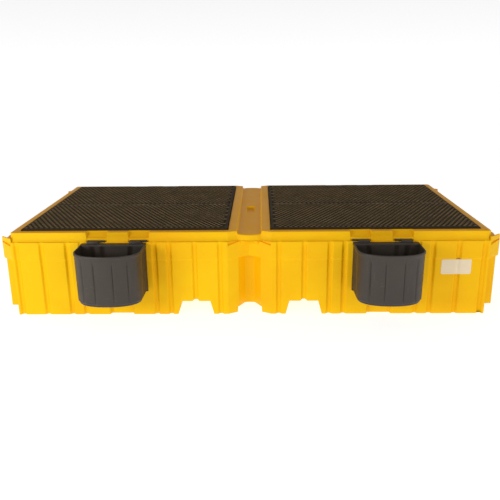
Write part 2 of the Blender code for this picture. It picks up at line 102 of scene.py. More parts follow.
class SumpSizes(bpy.types.PropertyGroup):
    wall: length("Wall", 0.009, "Thickness of the moulded wall")
    belt: length("Belt", 0.372, "Height of the parting line, where the upper band starts")
    ledge: length("Ledge", 0.492, "Height of the shoulder over the ribs")
    bead: length("Bead", 0.520, "Height at which the cove meets the rim's bead")
    rim: length("Rim", 0.550, "Height of the rim's flat top")
    channel: length("Channel", 0.530, "Height of the centre channel's floor")
    end_step: length("End step", 0.014, "How far the lower end walls stand inside the band")
    face_step: length("Face step", 0.004, "How far the lower front stands inside the band")
    groove_mouth: length("Groove mouth", 0.018, "Half the width of a groove at the wall's face")
    groove_bed: length("Groove bed", 0.007, "Half the width of a groove at its bed")
    groove_depth: length("Groove depth", 0.0135, "Depth of the upright grooves")
    softness: length("Softness", 0.0035, "Reach of the rounding on upright edges")
    edge: length("Edge", 0.005, "Radius of the rounding on level edges")


class DeckSizes(bpy.types.PropertyGroup):
    cell_x: length("Cell along", 0.01675, "Half the pitch of the treads along the deck")
    cell_y: length("Cell across", 0.0290, "Pitch of the tread rows across the deck")
    tread_long: length("Tread length", 0.0225, "Length of one raised tread")
    tread_wide: length("Tread width", 0.0110, "Width of one raised tread")
    tread_high: length("Tread height", 0.0034, "How far a tread stands up")
    drain_long: length("Drain length", 0.0165, "Length of one drain hole, across the deck")
    drain_wide: length("Drain width", 0.0095, "Width of one drain hole")
    skin: length("Skin", 0.010, "Thickness of the deck's plate")
    border: length("Border", 0.016, "Width of the plain strip at a deck's edge")
    rib: length("Rib", 0.010, "Thickness of the ribs under the plate")


class ShelfSizes(bpy.types.PropertyGroup):
    wall: length("Wall", 0.005, "Thickness of the shelf's wall")
    rail: length("Rail", 0.050, "Width of the flat rail along the back")
    lip: length("Lip", 0.004, "How far the rim bead stands out")
    draft: length("Draft", 0.003, "How much the walls draw in towards the foot")
    groove: length("Groove", 0.0062, "Depth of the upright grooves")
    straight: length("Straight side", 0.165, "Length of the straight sides")
    hook_half: length("Hook head", 0.055, "Half the width of a hook's head")
    hook_neck: length("Hook neck", 0.074, "Width of a hook's neck")
    hook_offset: length("Hook offset", 0.133, "Distance of each hook from the middle")


class Finishes(bpy.types.PropertyGroup):
    yellow: colour("Yellow", "F8C404", "Colour of the moulded polyethylene")
    yellow_deep: colour("Deep yellow", "F4B604", "Its deeper patches")
    deck: colour("Deck", "382D1B", "Colour of the deck plastic")
    # Painted highlight for the raised tread tops, also used as the colour of handling scuffs on the
    # decks.
    deck_wear_and_highlight: colour("Worn deck", "9A8058", "Colour of the worn tread tops")
    shelf: colour("Shelf", "3A3128", "Colour of the bucket shelves")
    column: colour("Column", "6F6B66", "Colour of the deck columns")
    sticker: colour("Sticker", "F0E0C0", "Colour of the blank sticker")
    grain: factor("Grain", 0.22, "Strength of the moulded grain")
    floor: colour("Floor", "BCBCBC", "Colour of the studio floor")
    camera_lens: FloatProperty(
        name="Lens", default=44.88, subtype="DISTANCE_CAMERA", description="Focal length"
    )
    column_sides: IntProperty(
        name="Column sides", default=40, min=8, description="Facets round a column"
    )


# ---------------------------------------------------------------- mesh tools


def smooth(value):
    value = np.clip(value, 0.0, 1.0)
    return value * value * (3 - 2 * value)


def inside(value, centre, half, soft):
    """1 within half of the centre and 0 outside, turning over a soft margin."""
    return smooth((half + soft / 2 - np.abs(value - centre)) / soft)


def grid_faces(rows, columns, start=0, wrap=False):
    """Quads of a grid of points numbered row by row from start."""
    faces = []
    last = columns if wrap else columns - 1
    for r in range(rows - 1):
        for c in range(last):
            a = start + r * columns + c
            b = start + r * columns + (c + 1) % columns
            faces.append((a, b, b + columns, a + columns))
    return faces


def mesh_of(name, points, faces, weld=1e-5, sharp=40.0):
    """A mesh with close points welded, its faces turned outwards and its soft edges smooth."""
    mesh = bpy.data.meshes.new(name)
    mesh.from_pydata([tuple(p) for p in points], [], faces)
    shape = bmesh.new()
    shape.from_mesh(mesh)
    bmesh.ops.remove_doubles(shape, verts=shape.verts, dist=weld)
    bmesh.ops.dissolve_degenerate(shape, edges=shape.edges, dist=weld)
    loose = [v for v in shape.verts if not v.link_faces]
    bmesh.ops.delete(shape, geom=loose, context="VERTS")
    bmesh.ops.recalc_face_normals(shape, faces=shape.faces)
    shape.to_mesh(mesh)
    shape.free()
    mesh.shade_smooth()
    mesh.set_sharp_from_angle(angle=math.radians(sharp))
    return mesh


class Sheets:
    """Grids and single faces gathered into one mesh."""

    def __init__(self):
        self.points = []
        self.faces = []

    def grid(self, rows, wrap=False):
        rows = np.asarray(rows, float)
        self.faces += grid_faces(rows.shape[0], rows.shape[1], len(self.points), wrap)
        self.points += [tuple(p) for p in rows.reshape(-1, 3)]

    def face(self, corners):
        start = len(self.points)
        self.points += [tuple(p) for p in corners]
        self.faces.append(tuple(range(start, start + len(corners))))

    def mirrored(self, along):
        """The same sheets and their mirror along an axis."""
        flip = [1.0, 1.0, 1.0]
        flip[along] = -1.0
        start = len(self.points)
        self.points += [tuple(c * f for c, f in zip(p, flip)) for p in self.points]
        self.faces += [tuple(start + i for i in reversed(face)) for face in self.faces]

    def mesh(self, name, weld=1e-5, sharp=40.0):
        return mesh_of(name, self.points, self.faces, weld, sharp)


def add_object(name, mesh, look):
    obj = bpy.data.objects.new(name, mesh)
    bpy.context.scene.collection.objects.link(obj)
    mesh.materials.clear()
    mesh.materials.append(look)
    return obj


def settle(obj, body, slot, *nodes):
    """The piece rides its body and stands for CAD nodes, which it hides; the slot is not used."""
    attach(obj, body)
    if nodes:
        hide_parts(*nodes)
    return obj


def extruded(name, outline, low, high, bevel, segments=2):
    """A bevelled bar: an outline in Y and Z run along X."""
    shape = bmesh.new()
    near = [shape.verts.new((low, y, z)) for y, z in outline]
    shape.faces.new(near)
    made = bmesh.ops.extrude_face_region(shape, geom=shape.faces[:])
    moved = [g for g in made["geom"] if isinstance(g, bmesh.types.BMVert)]
    bmesh.ops.translate(shape, verts=moved, vec=(high - low, 0, 0))
    bmesh.ops.recalc_face_normals(shape, faces=shape.faces)
    if bevel:
        bmesh.ops.bevel(
            shape, geom=shape.edges[:], offset=bevel, segments=segments, profile=0.5,
            affect="EDGES", clamp_overlap=True,
        )
    mesh = bpy.data.meshes.new(name)
    shape.to_mesh(mesh)
    shape.free()
    return mesh


def join_meshes(name, meshes, sharp=40.0):
    shape = bmesh.new()
    for mesh in meshes:
        shape.from_mesh(mesh)
    joined = bpy.data.meshes.new(name)
    bmesh.ops.recalc_face_normals(shape, faces=shape.faces)
    shape.to_mesh(joined)
    shape.free()
    joined.shade_smooth()
    joined.set_sharp_from_angle(angle=math.radians(sharp))
    return joined


# ---------------------------------------------------------------- sump's plan

CHAMFER_X = 0.0775
CHAMFER_Y = 0.0655
CORNER_START = HALF_LENGTH - CHAMFER_X
CHAMFER_RUN = math.hypot(CHAMFER_X, CHAMFER_Y)
CORNER_END = CORNER_START + CHAMFER_RUN
END_RUN = HALF_WIDTH - CHAMFER_Y
WAY_END = CORNER_END + END_RUN
CORNER_STEP = CORNER_START + 0.48 * CHAMFER_RUN
STEP_X, STEP_Y = 1.5105, 0.727
LIFT_END = WAY_END - HALF_WIDTH + 0.230
FINE = np.arange(0.0, WAY_END + 0.0004, 0.0005)

GROOVES_FROM_BAY = (0.231, 0.323, 0.485, 0.646)
GROOVES_ON_END = (0.160, 0.320, 0.480, 0.640)
NOTCH_MOUTH = 0.139
NOTCH_BELT = 0.715
NOTCH_LOWER = ((0.0, 0.668), (0.031, 0.672), (0.070, 0.745))
LIP = ((0.0, 0.768), (0.025, 0.765), (0.050, 0.758), (0.073, 0.742), (0.082, 0.741))
RIM_Y = 0.765
RIM_X = 1.516
SQUARE_CORNER = 1.455  # where the rim's and the opening's fronts end
OPENING_X = (0.136, 1.467)
OPENING_Y = 0.716
EDGE_OUT = 0.004
PANEL_HALF = 0.078
PANEL_SLOPE = 0.008
PANEL_DEPTH = 0.025
TUNNEL_X = 0.349
TUNNEL_HEIGHT = 0.090
TUNNEL_FOOT = 0.117
TUNNEL_TOP = 0.093
ARCH_HALF = 0.021
ARCH_RISE = 0.009
NOTCH_LIFT = 0.038
CORNER_LIFT = 0.045
SCOOP_HALF = 0.066
SCOOP_FOOT = 0.512
SLOT_HALF = 0.063
SLOT_NEAR = 0.7667
SLOT_FAR = 0.7800
SLOT_FLOOR = 0.459
FLOOR_TOP = 0.010
PAN_HALF = 0.027
PAN_Y = (-0.149, 0.045)
PAN_DEPTH = 0.017
HOOKS = (BAY_X - 0.133, BAY_X + 0.133)
FRONT_GROOVES = sorted(BAY_X + sign * step for sign in (-1, 1) for step in GROOVES_FROM_BAY)
END_GROOVES = sorted(CORNER_END + END_RUN - y for y in GROOVES_ON_END)


def soften(values, reach, odd_start, odd_end):
    """Values along the way with their corners rounded; the way carries on as its own mirror."""
    count = max(1, int(round(reach / 0.0005)))
    before = values[1 : 2 * count + 1][::-1]
    after = values[-2 * count - 1 : -1][::-1]
    before = 2 * values[0] - before if odd_start else before
    after = 2 * values[-1] - after if odd_end else after
    padded = np.concatenate([before, values, after])
    kernel = np.bartlett(2 * count + 1)
    padded = np.convolve(padded, kernel / kernel.sum(), "same")
    return padded[2 * count : 2 * count + len(values)]


def contour(keys, reach):
    """A quarter of the plan from (way, x, y) keys; y counts outwards from the middle line."""
    way, x, y = np.array(keys, float).T
    x = soften(np.interp(FINE, way, x), reach, True, False)
    y = soften(np.interp(FINE, way, y), reach, False, True)
    return x, y


def at(plan, ways):
    return np.interp(ways, FINE, plan[0]), np.interp(ways, FINE, plan[1])


def outward(plan, distance):
    """The contour moved outwards along its own normals; the distance may vary along the way."""
    x, y = plan
    dx, dy = np.gradient(x), np.gradient(-y)
    run = np.hypot(dx, dy) + 1e-12
    return x + dy / run * distance, y + dx / run * distance


def mixed(a, b, share):
    return a[0] + (b[0] - a[0]) * share, a[1] + (b[1] - a[1]) * share


def grooved(keys_front, keys_end, sizes, face_y, face_x, depth):
    """Adds the upright grooves to a contour's front and end keys."""
    mouth, bed = sizes.groove_mouth, sizes.groove_bed
    keys = list(keys_front)
    for centre in FRONT_GROOVES:
        for step, sunk in ((-mouth, 0), (-bed, depth), (bed, depth), (mouth, 0)):
            keys.append((centre + step, centre + step, face_y - sunk))
    for centre in END_GROOVES:
        for step, sunk in ((-mouth, 0), (-bed, depth), (bed, depth), (mouth, 0)):
            keys.append((centre + step, face_x - sunk, WAY_END - centre - step))
    return sorted(keys + list(keys_end))


def wall_plan(sizes, notch, face_y, face_x, depth, stepped):
    """The wall's plan; stepped adds the shelf's sunk panel and the corner that steps back."""
    front = [(x, x, y) for x, y in notch] + [(NOTCH_MOUTH, NOTCH_MOUTH, face_y)]
    corner = [(CORNER_START, CORNER_START, face_y), (CORNER_END, face_x, END_RUN)]
    if stepped:
        corner.insert(1, (CORNER_STEP, STEP_X, STEP_Y))
        bed = PANEL_HALF - PANEL_SLOPE
        sides = (-PANEL_HALF, 0), (-bed, PANEL_DEPTH), (bed, PANEL_DEPTH), (PANEL_HALF, 0)
        for step, sunk in sides:
            front.append((BAY_X + step, BAY_X + step, face_y - sunk))
    end = corner + [(WAY_END, face_x, 0.0)]
    return contour(grooved(front, end, sizes, face_y, face_x, depth), sizes.softness)


def rim_plan(sizes):
    front = [(x, x, y) for x, y in LIP]
    front += [(x, x, RIM_Y) for x in (OPENING_X[0], SQUARE_CORNER)]
    end = [
        (CORNER_START, RIM_X - 0.016, RIM_Y),
        (CORNER_END, RIM_X, RIM_Y - 0.013),
        (CORNER_END + 0.05, RIM_X, END_RUN - 0.05),
        (WAY_END, RIM_X, 0.0),
    ]
    return contour(front + end, sizes.softness)


def opening_plan():
    """The line a little outside the deck's opening, with square corners."""
    x, y = OPENING_X[1] + EDGE_OUT, OPENING_Y + EDGE_OUT
    keys = [(0, 0, y), (SQUARE_CORNER, SQUARE_CORNER, y)]
    keys += [(CORNER_START, x, y), (CORNER_END, x, y - 0.010)]
    keys += [(CORNER_END + 0.05, x, END_RUN - 0.05), (WAY_END, x, 0)]
    way, px, py = np.array(keys, float).T
    return np.interp(FINE, way, px), np.interp(FINE, way, py)


def stations():
    """Where the columns of points stand along the way, closer together at each feature."""
    found = set(np.linspace(0, WAY_END, 96))
    for centre in FRONT_GROOVES + END_GROOVES:
        found |= set(centre + np.linspace(-0.023, 0.023, 21))
    for centre in (BAY_X - PANEL_HALF, BAY_X + PANEL_HALF):
        found |= set(centre + np.linspace(-0.013, 0.013, 9))
    for side in (-1, 1):
        found |= set(TUNNEL_X + side * np.linspace(TUNNEL_TOP - 0.006, TUNNEL_FOOT + 0.005, 16))
    found |= set(TUNNEL_X + np.linspace(-ARCH_HALF, ARCH_HALF, 13))
    for hook in HOOKS:
        for side in (-1, 1):
            edge = hook + side * SLOT_HALF
            found |= {edge - 0.0008, edge, edge + 0.0008}
            found |= set(hook + side * np.linspace(SCOOP_HALF - 0.004, SCOOP_HALF + 0.004, 6))
    found |= set(np.linspace(0, 0.066, 16)) | set(np.linspace(0.066, 0.088, 16))
    found |= set(np.linspace(0.088, NOTCH_MOUTH + 0.012, 14)) | {OPENING_X[0] - EDGE_OUT}
    for corner in (CORNER_START, CORNER_STEP, CORNER_END):
        found |= set(corner + np.linspace(-0.012, 0.012, 11))
    found |= {LIFT_END - 0.0008, LIFT_END + 0.0008}
    ways = np.array(sorted(round(w, 5) for w in found))
    keep = np.concatenate([[True], np.diff(ways) > 0.0006])
    keep[-1] = True
    return ways[keep]


def corner_mask(ways):
    """1 where the foot of the wall is lifted at the upright corner."""
    return ((ways > CORNER_STEP + 0.0012) & (ways < LIFT_END)).astype(float)


def pocket_depth(ways):
    """Height of the wedge under the shoulder, 0 to 1, beside the notch and on the cut corner."""
    beside_notch = np.where((ways > 0.056) & (ways < 0.1345), (ways - 0.056) / 0.078, 0)
    along = (ways - CORNER_START) / CHAMFER_RUN
    on_corner = np.where((along > 0.03) & (along < 0.97), 1 - 0.85 * along, 0)
    return beside_notch + on_corner


def lip_on_corner(ways):
    """1 along the cut corner, where the shoulder carries a raised lip."""
    return inside(ways, (CORNER_START + CORNER_END) / 2, CHAMFER_RUN / 2 + 0.001, 0.003)


def foot_level(ways):
    """Height of the wall's bottom edge along the way."""
    across = np.abs(ways - TUNNEL_X)
    slope = (TUNNEL_FOOT - across) / (TUNNEL_FOOT - TUNNEL_TOP)
    tunnel = TUNNEL_HEIGHT * np.clip(slope, 0, 1)
    notch = NOTCH_LIFT * inside(ways, 0, 0.078, 0.003)
    return np.maximum.reduce([tunnel, notch, CORNER_LIFT * corner_mask(ways)])


def arch_rise(ways):
    return ARCH_RISE * np.clip(1 - (np.abs(ways - TUNNEL_X) / ARCH_HALF) ** 2, 0, 1) ** 0.5


def hook_mask(ways, half, soft):
    return sum(inside(ways, hook, half, soft) for hook in HOOKS)


# ---------------------------------------------------------------- sump's skin


def row(plan, ways, height):
    x, y = at(plan, ways)
    return np.stack([x, -y, np.broadcast_to(height, x.shape)], axis=1)


def wall_rows(sizes, ways, plans):
    """The outside of the wall from its bottom edge to the shoulder."""
    lower, belt, crown = plans["lower"], plans["belt"], plans["crown"]
    foot = foot_level(ways) + arch_rise(ways)
    e = sizes.edge
    rows = [
        row(outward(lower, -2.4 * e), ways, foot),
        row(outward(lower, -e), ways, foot),
        row(outward(lower, -0.3 * e), ways, foot + 0.3 * e),
        row(lower, ways, foot + e),
    ]
    top = sizes.belt - 0.008
    for share in (0.25, 0.5, 0.75, 1.0):
        rows.append(row(lower, ways, (foot + e) * (1 - share) + top * share))
    for share, rise in ((0.06, -0.004), (0.3, -0.001), (0.7, 0.002), (0.94, 0.005), (1.0, 0.010)):
        rows.append(row(mixed(lower, belt, share), ways, sizes.belt + rise))
    shoulder = sizes.ledge
    tall, fine = pocket_depth(ways), (pocket_depth(FINE) > 0) * 1.0
    wedge = (tall > 0) * 1.0
    # Share of the way from belt to crown, height, how far a wedge is sunk, and a wedge's height.
    upper = (
        (0, 0.410, 0, 0.410),
        (0, 0.450, 0, 0.450),
        (0.12, 0.462, 0, shoulder - 0.0060 - 0.024 * tall),
        (0.45, 0.472, 0.010, shoulder - 0.0055 - 0.017 * tall),
        (0.85, 0.481, 0.010, shoulder - 0.0045),
        (1, shoulder - e, 0, shoulder - 0.0040),
    )
    for share, height, sunk, wedge_height in upper:
        plan = outward(mixed(belt, crown, share), -sunk * fine)
        rows.append(row(plan, ways, height + (wedge_height - height) * wedge))
    lip, lip_fine = lip_on_corner(ways), lip_on_corner(FINE)
    # Reach and extra reach of the lip in edge sizes, and the lip's rise.
    lip_rows = (
        (0.3, 0, 0.0235),
        (1.0, 0, 0.025),
        (1.02, 0.5, 0.025),
        (1.04, 0.8, 0.0235),
        (1.06, 0.9, 0),
    )
    for reach, wider, rise in lip_rows:
        plan = outward(crown, -e * (reach + wider * lip_fine))
        drop = 0.3 * e if reach == 0.3 else 0
        rows.append(row(plan, ways, shoulder - drop + (rise + drop) * lip))
    return rows


def rim_rows(sizes, ways, plans):
    """From the shoulder over the slots, cove, bead and rim to the edge of the opening."""
    rim, opening, crown = plans["rim"], plans["opening"], plans["crown"]
    slot = hook_mask(FINE, SLOT_HALF, 0.0008)
    slot_at = hook_mask(ways, SLOT_HALF, 0.0008)
    scoop = hook_mask(ways, SCOOP_HALF, 0.006)
    scoop_fine = hook_mask(FINE, SCOOP_HALF, 0.006)
    open_way = smooth((np.abs(FINE) - 0.045) / 0.035)
    far = np.maximum(0.0115 * open_way, 0.0006)
    lip = inside(ways, 0, 0.077, 0.006)
    ledge = sizes.ledge - 0.0022 * slot_at
    far_slot, near_slot = SLOT_FAR - RIM_Y, SLOT_NEAR - RIM_Y
    rows = []
    edges = (far_slot + 0.0006, 0), (far_slot, 0.0016), (far_slot, 1), (near_slot, 1)
    for reach, sink in edges:
        away = far + (reach - far) * slot
        depth = (ledge - SLOT_FLOOR) * sink if sink == 1 else sink
        rows.append(row(outward(rim, away), ways, ledge - depth * slot_at))
    fall = sizes.rim - sizes.channel
    foot_top = np.minimum(sizes.bead, sizes.channel - 0.012 + fall * (1 - lip))
    top = sizes.rim + (sizes.channel - sizes.rim) * lip
    outer = top + (SCOOP_FOOT - top) * scoop
    for share in (0.0, 0.07, 0.22, 0.45, 0.7, 0.9, 1.0):
        away = far * (1 - share) ** 1.5
        away = away + (near_slot * (1 - share) - away) * slot
        start = sizes.ledge + 0.0015
        rise = start + (np.minimum(foot_top, outer - 0.004) - start) * (share**1.15)
        rows.append(row(outward(rim, away), ways, rise))
    e = sizes.edge + 0.003 * lip
    e_fine = sizes.edge + 0.003 * inside(FINE, 0, 0.077, 0.006)
    rows.append(row(rim, ways, (foot_top + outer - e) / 2 * (1 - scoop) + (outer - 0.003) * scoop))
    for inset, drop in ((0.0, 1.0), (0.08, 0.6), (0.3, 0.3), (0.62, 0.08), (1.0, 0.0)):
        size = e * (1 - 0.6 * scoop)
        size_fine = e_fine * (1 - 0.6 * scoop_fine)
        rows.append(row(outward(rim, -inset * size_fine), ways, outer - drop * size))
    edge = outward(rim, -e_fine * (1 - 0.6 * scoop_fine))
    for share in (0.35, 0.7, 1.0):
        rows.append(row(mixed(edge, opening, share), ways, outer + (top - outer) * share))
    return rows


def channel_level(x, y):
    """Height of the top over the centre: trough, its walls, the rims beside it and the pan."""
    side = smooth((np.abs(x) - 0.0725) / 0.0085)
    level = 0.530 + 0.020 * side
    middle, half = (PAN_Y[0] + PAN_Y[1]) / 2, (PAN_Y[1] - PAN_Y[0]) / 2
    pan = inside(x, 0, PAN_HALF, 0.005) * inside(y, middle, half, 0.006)
    return level - PAN_DEPTH * pan


def channel_ways():
    edge = OPENING_Y + EDGE_OUT
    found = set(np.linspace(-edge, edge, 25))
    for y in PAN_Y:
        found |= set(y + np.linspace(-0.005, 0.005, 7))
    return np.array(sorted(found))


def opening_loop(ways, plans):
    """The closed line round one deck opening, just outside its edge."""
    limit = OPENING_X[0] - EDGE_OUT
    x, y = at(plans["opening"], ways[ways >= limit - 1e-6])
    front = list(zip(x, -y))
    back = [(a, -b) for a, b in reversed(front) if b < -1e-9]
    side = [(limit, b) for b in reversed(channel_ways()[1:-1])]
    return np.array(front + back + side)


def opening_rows(ways, plans, rim, wall):
    """The edge of the opening turned down and back under the rim."""
    loop = opening_loop(ways, plans)
    low, high = OPENING_X
    across, along = np.clip(loop[:, 0], low, high), np.clip(loop[:, 1], -OPENING_Y, OPENING_Y)
    square = np.stack([across, along], 1)
    drops = (0, 0), (0.38, 0.0003), (0.71, 0.0012), (0.92, 0.0025), (1, 0.004)
    rises = (1, 0.0015), (0.8, 0.0003), (0, 0)
    levels = [(share, rim - drop) for share, drop in drops]
    levels += [(share, rim - wall + rise) for share, rise in rises]
    return [
        np.column_stack([loop + (square - loop) * share, np.full(len(loop), height)])
        for share, height in levels
    ]


def lining_rows(sizes, ways, plans):
    """The inside of the wall, from under the opening's edge down to the floor."""
    under = sizes.rim - sizes.wall
    lip = inside(ways, 0, 0.090, 0.006)
    scoop = hook_mask(ways, SCOOP_HALF + 0.008, 0.008)
    ceiling = under - (sizes.rim - sizes.channel) * lip
    scooped = SCOOP_FOOT - sizes.wall + (under - SCOOP_FOOT + sizes.wall) * (1 - scoop)
    outer_ceiling = np.minimum(ceiling, scooped)
    turn = 0.483 - 0.037 * scoop
    floor = inner_floor(ways)
    inner, hug = plans["inner"], outward(plans["rim"], -0.0105)
    return [
        row(plans["opening"], ways, ceiling),
        row(mixed(plans["opening"], hug, 0.9), ways, outer_ceiling),
        row(hug, ways, outer_ceiling - 0.003),
        row(hug, ways, turn + 0.003),
        row(mixed(hug, inner, 0.8), ways, turn - 0.002),
        row(inner, ways, turn - 0.008),
        row(inner, ways, floor + 0.008),
        row(outward(inner, -0.003), ways, floor + 0.002),
        row(outward(inner, -0.010), ways, floor),
    ]


def inner_floor(ways):
    across = np.abs(ways - TUNNEL_X)
    slope = (TUNNEL_FOOT + 0.010 - across) / (TUNNEL_FOOT - TUNNEL_TOP)
    notch = NOTCH_LIFT * inside(ways, 0, 0.090, 0.004)
    corner = CORNER_LIFT * ((ways > CORNER_STEP - 0.012) & (ways < LIFT_END + 0.012))
    tunnel = TUNNEL_HEIGHT * np.clip(slope, 0, 1)
    return FLOOR_TOP + np.maximum.reduce([tunnel, notch, corner])


def base_sheet(sheets, ways, edge_row, level, lift, notch_reach):
    """A level base with the tunnels' run, the raised notch and the raised corner."""
    front = ways <= SQUARE_CORNER + 0.0001
    edge = edge_row[front]
    x = edge[:, 0]
    plain = level(x) - np.where(x < 0.12, lift * inside(x, 0, 0.078, 0.003), 0)
    plain = np.maximum(plain, level(np.array([0.6]))[0])
    rows = [edge]
    cut = -HALF_WIDTH + notch_reach
    near = edge.copy()
    near[:, 1] = np.where(x < 0.12, np.maximum(cut, edge[:, 1]), edge[:, 1] + 0.02)
    near[:, 2] = level(x)
    rows.append(near)
    step = near.copy()
    step[:, 1] += 0.002
    step[:, 2] = plain
    rows.append(step)
    last = step.copy()
    last[:, 1] = 0
    rows.append(last)
    sheets.grid(rows)
    rest = edge_row[~front]
    raised = rest[:, 2] > plain[-1] + 0.01
    first, final = np.flatnonzero(raised)[0], np.flatnonzero(raised)[-1]
    base = plain[-1]
    start, stop = rest[first].copy(), rest[final].copy()
    turn = np.array([start[0], stop[1], start[2]])
    low_start, low_turn, low_stop = (p * (1, 1, 0) + (0, 0, base) for p in (start, turn, stop))
    sheets.face([*rest[first : final + 1], turn])
    sheets.face([start, turn, low_turn, low_start])
    sheets.face([turn, stop, low_stop, low_turn])
    flat = [last[-1], step[-1], near[-1], edge[-1]]
    flat += [*rest[:first], low_start, low_turn, low_stop, *rest[final + 1 :]]
    flat = [(p[0], p[1], base) for p in flat]
    flat.append((last[-1][0], 0.0, base))
    sheets.face(flat[1:])


def sump_mesh(sizes):
    face_y = HALF_WIDTH - sizes.face_step
    face_x = HALF_LENGTH - sizes.end_step
    ways = stations()
    depth = sizes.groove_depth
    plans = {
        "lower": wall_plan(sizes, NOTCH_LOWER, face_y, face_x, depth, True),
        "belt": wall_plan(sizes, ((0, NOTCH_BELT),), HALF_WIDTH, HALF_LENGTH, depth, False),
        "rim": rim_plan(sizes),
        "opening": opening_plan(),
    }
    shallow = wall_plan(sizes, ((0, NOTCH_BELT),), HALF_WIDTH, HALF_LENGTH, 0.0065, False)
    lip_foot = outward(plans["rim"], 0.0015 + 0.0115 * smooth((FINE - 0.045) / 0.035) + sizes.edge)
    ahead = np.where(FINE < 0.120, np.maximum(shallow[1], lip_foot[1]), shallow[1])
    plans["crown"] = shallow[0], ahead
    wide = [(0.0, 0.655), (0.037, 0.657), (0.080, 0.735)]
    inner = wall_plan(sizes, wide, face_y, face_x, depth, True)
    plans["inner"] = outward(inner, -sizes.wall)
    sheets = Sheets()
    outside = wall_rows(sizes, ways, plans) + rim_rows(sizes, ways, plans)
    sheets.grid(outside)
    lining = lining_rows(sizes, ways, plans)
    sheets.grid(lining)
    base_sheet(sheets, ways, outside[0], foot_level, NOTCH_LIFT, 0.2425)
    base_sheet(sheets, ways, lining[-1], inner_floor, NOTCH_LIFT, 0.2525)
    sheets.mirrored(1)
    across = ways[ways <= OPENING_X[0] - EDGE_OUT + 1e-6]
    x, y = np.meshgrid(across, channel_ways())
    sheets.grid(np.stack([x, y, channel_level(x, y)], axis=2))
    pan = inside(x, 0, 0.040, 0.004) * inside(y, sum(PAN_Y) / 2, 0.107, 0.006)
    under = 0.541 - 0.020 * inside(x, 0, 0.090, 0.006) - PAN_DEPTH * pan
    sheets.grid(np.stack([x, y, under], axis=2))
    sheets.grid(opening_rows(ways, plans, sizes.rim, sizes.wall), wrap=True)
    sheets.mirrored(0)
    return sheets.mesh("sump_shell", weld=2e-5, sharp=50)


# ---------------------------------------------------------------- materials


def new_group(name, inputs, outputs):
    group = bpy.data.node_groups.new(name, "ShaderNodeTree")
    for label, kind, default in inputs:
        socket = group.interface.new_socket(name=label, in_out="INPUT", socket_type=kind)
        socket.default_value = default
    for label, kind in outputs:
        group.interface.new_socket(name=label, in_out="OUTPUT", socket_type=kind)
    return group, group.nodes.new("NodeGroupInput"), group.nodes.new("NodeGroupOutput")


def add_node(tree, kind, **values):
    node = tree.nodes.new(kind)
    for label, value in values.items():
        setattr(node, label, value)
    return node


def math_node(tree, operation, first, second):
    node = add_node(tree, "ShaderNodeMath", operation=operation)
    for socket, value in zip(node.inputs, (first, second)):
        give(tree, socket, value)
    return node.outputs[0]


def noise(tree, coordinates, scale, detail=2.0, roughness=0.5):
    node = add_node(tree, "ShaderNodeTexNoise")
    tree.links.new(coordinates, node.inputs["Vector"])
    give(tree, node.inputs["Scale"], scale)
    node.inputs["Detail"].default_value = detail
    node.inputs["Roughness"].default_value = roughness
    return node.outputs["Fac"]


def mapped(tree, value, low, high, out_low=0.0, out_high=1.0):
    node = add_node(tree, "ShaderNodeMapRange", clamp=True)
    tree.links.new(value, node.inputs["Value"])
    limits = {"From Min": low, "From Max": high, "To Min": out_low, "To Max": out_high}
    for label, number in limits.items():
        node.inputs[label].default_value = number
    return node.outputs["Result"]


def stretched(tree, coordinates, scale):
    node = add_node(tree, "ShaderNodeMapping")
    tree.links.new(coordinates, node.inputs["Vector"])
    node.inputs["Scale"].default_value = scale
    return node.outputs["Vector"]


def give(tree, socket, value):
    """Links an output to the socket, or sets the socket to a number, a colour or a vector."""
    if isinstance(value, bpy.types.NodeSocket):
        tree.links.new(value, socket)
    else:
        socket.default_value = value


def mix_colour(tree, share, first, second):
    node = add_node(tree, "ShaderNodeMix", data_type="RGBA")
    colours = [socket for socket in node.inputs if socket.type == "RGBA"]
    for socket, value in zip(colours, (first, second)):
        linked = isinstance(value, bpy.types.NodeSocket)
        give(tree, socket, value if linked else (*value, 1.0))
    give(tree, next(s for s in node.inputs if s.name == "Factor" and s.type == "VALUE"), share)
    return next(socket for socket in node.outputs if socket.type == "RGBA")


def grain_group():
    """The skin of rotation-moulded plastic: a fine peel over slow waves."""
    found = bpy.data.node_groups.get("moulded_grain")
    if found:
        return found
    group, given, result = new_group(
        "moulded_grain",
        [("Vector", "NodeSocketVector", (0, 0, 0)), ("Scale", "NodeSocketFloat", 260.0)],
        [("Height", "NodeSocketFloat"), ("Roughness", "NodeSocketFloat")],
    )
    fine = noise(group, given.outputs["Vector"], given.outputs["Scale"], 3.0, 0.6)
    slow = noise(group, given.outputs["Vector"], 5.5, 1.0)
    height = math_node(group, "ADD", fine, math_node(group, "MULTIPLY", slow, 3.0))
    group.links.new(height, result.inputs["Height"])
    patches = noise(group, given.outputs["Vector"], 16.0, 4.0, 0.65)
    group.links.new(patches, result.inputs["Roughness"])
    return group


def drift_group():
    """Slow changes of shade across a moulding, from one colour to a second."""
    found = bpy.data.node_groups.get("shade_drift")
    if found:
        return found
    group, given, result = new_group(
        "shade_drift",
        [
            ("Vector", "NodeSocketVector", (0, 0, 0)),
            ("First", "NodeSocketColor", (1, 1, 1, 1)),
            ("Second", "NodeSocketColor", (0, 0, 0, 1)),
            ("Scale", "NodeSocketFloat", 2.0),
        ],
        [("Colour", "NodeSocketColor"), ("Share", "NodeSocketFloat")],
    )
    slow = noise(group, given.outputs["Vector"], given.outputs["Scale"], 3.0, 0.55)
    share = mapped(group, slow, 0.35, 0.68)
    mixed_colour = mix_colour(group, share, given.outputs["First"], given.outputs["Second"])
    group.links.new(mixed_colour, result.inputs["Colour"])
    group.links.new(share, result.inputs["Share"])
    return group


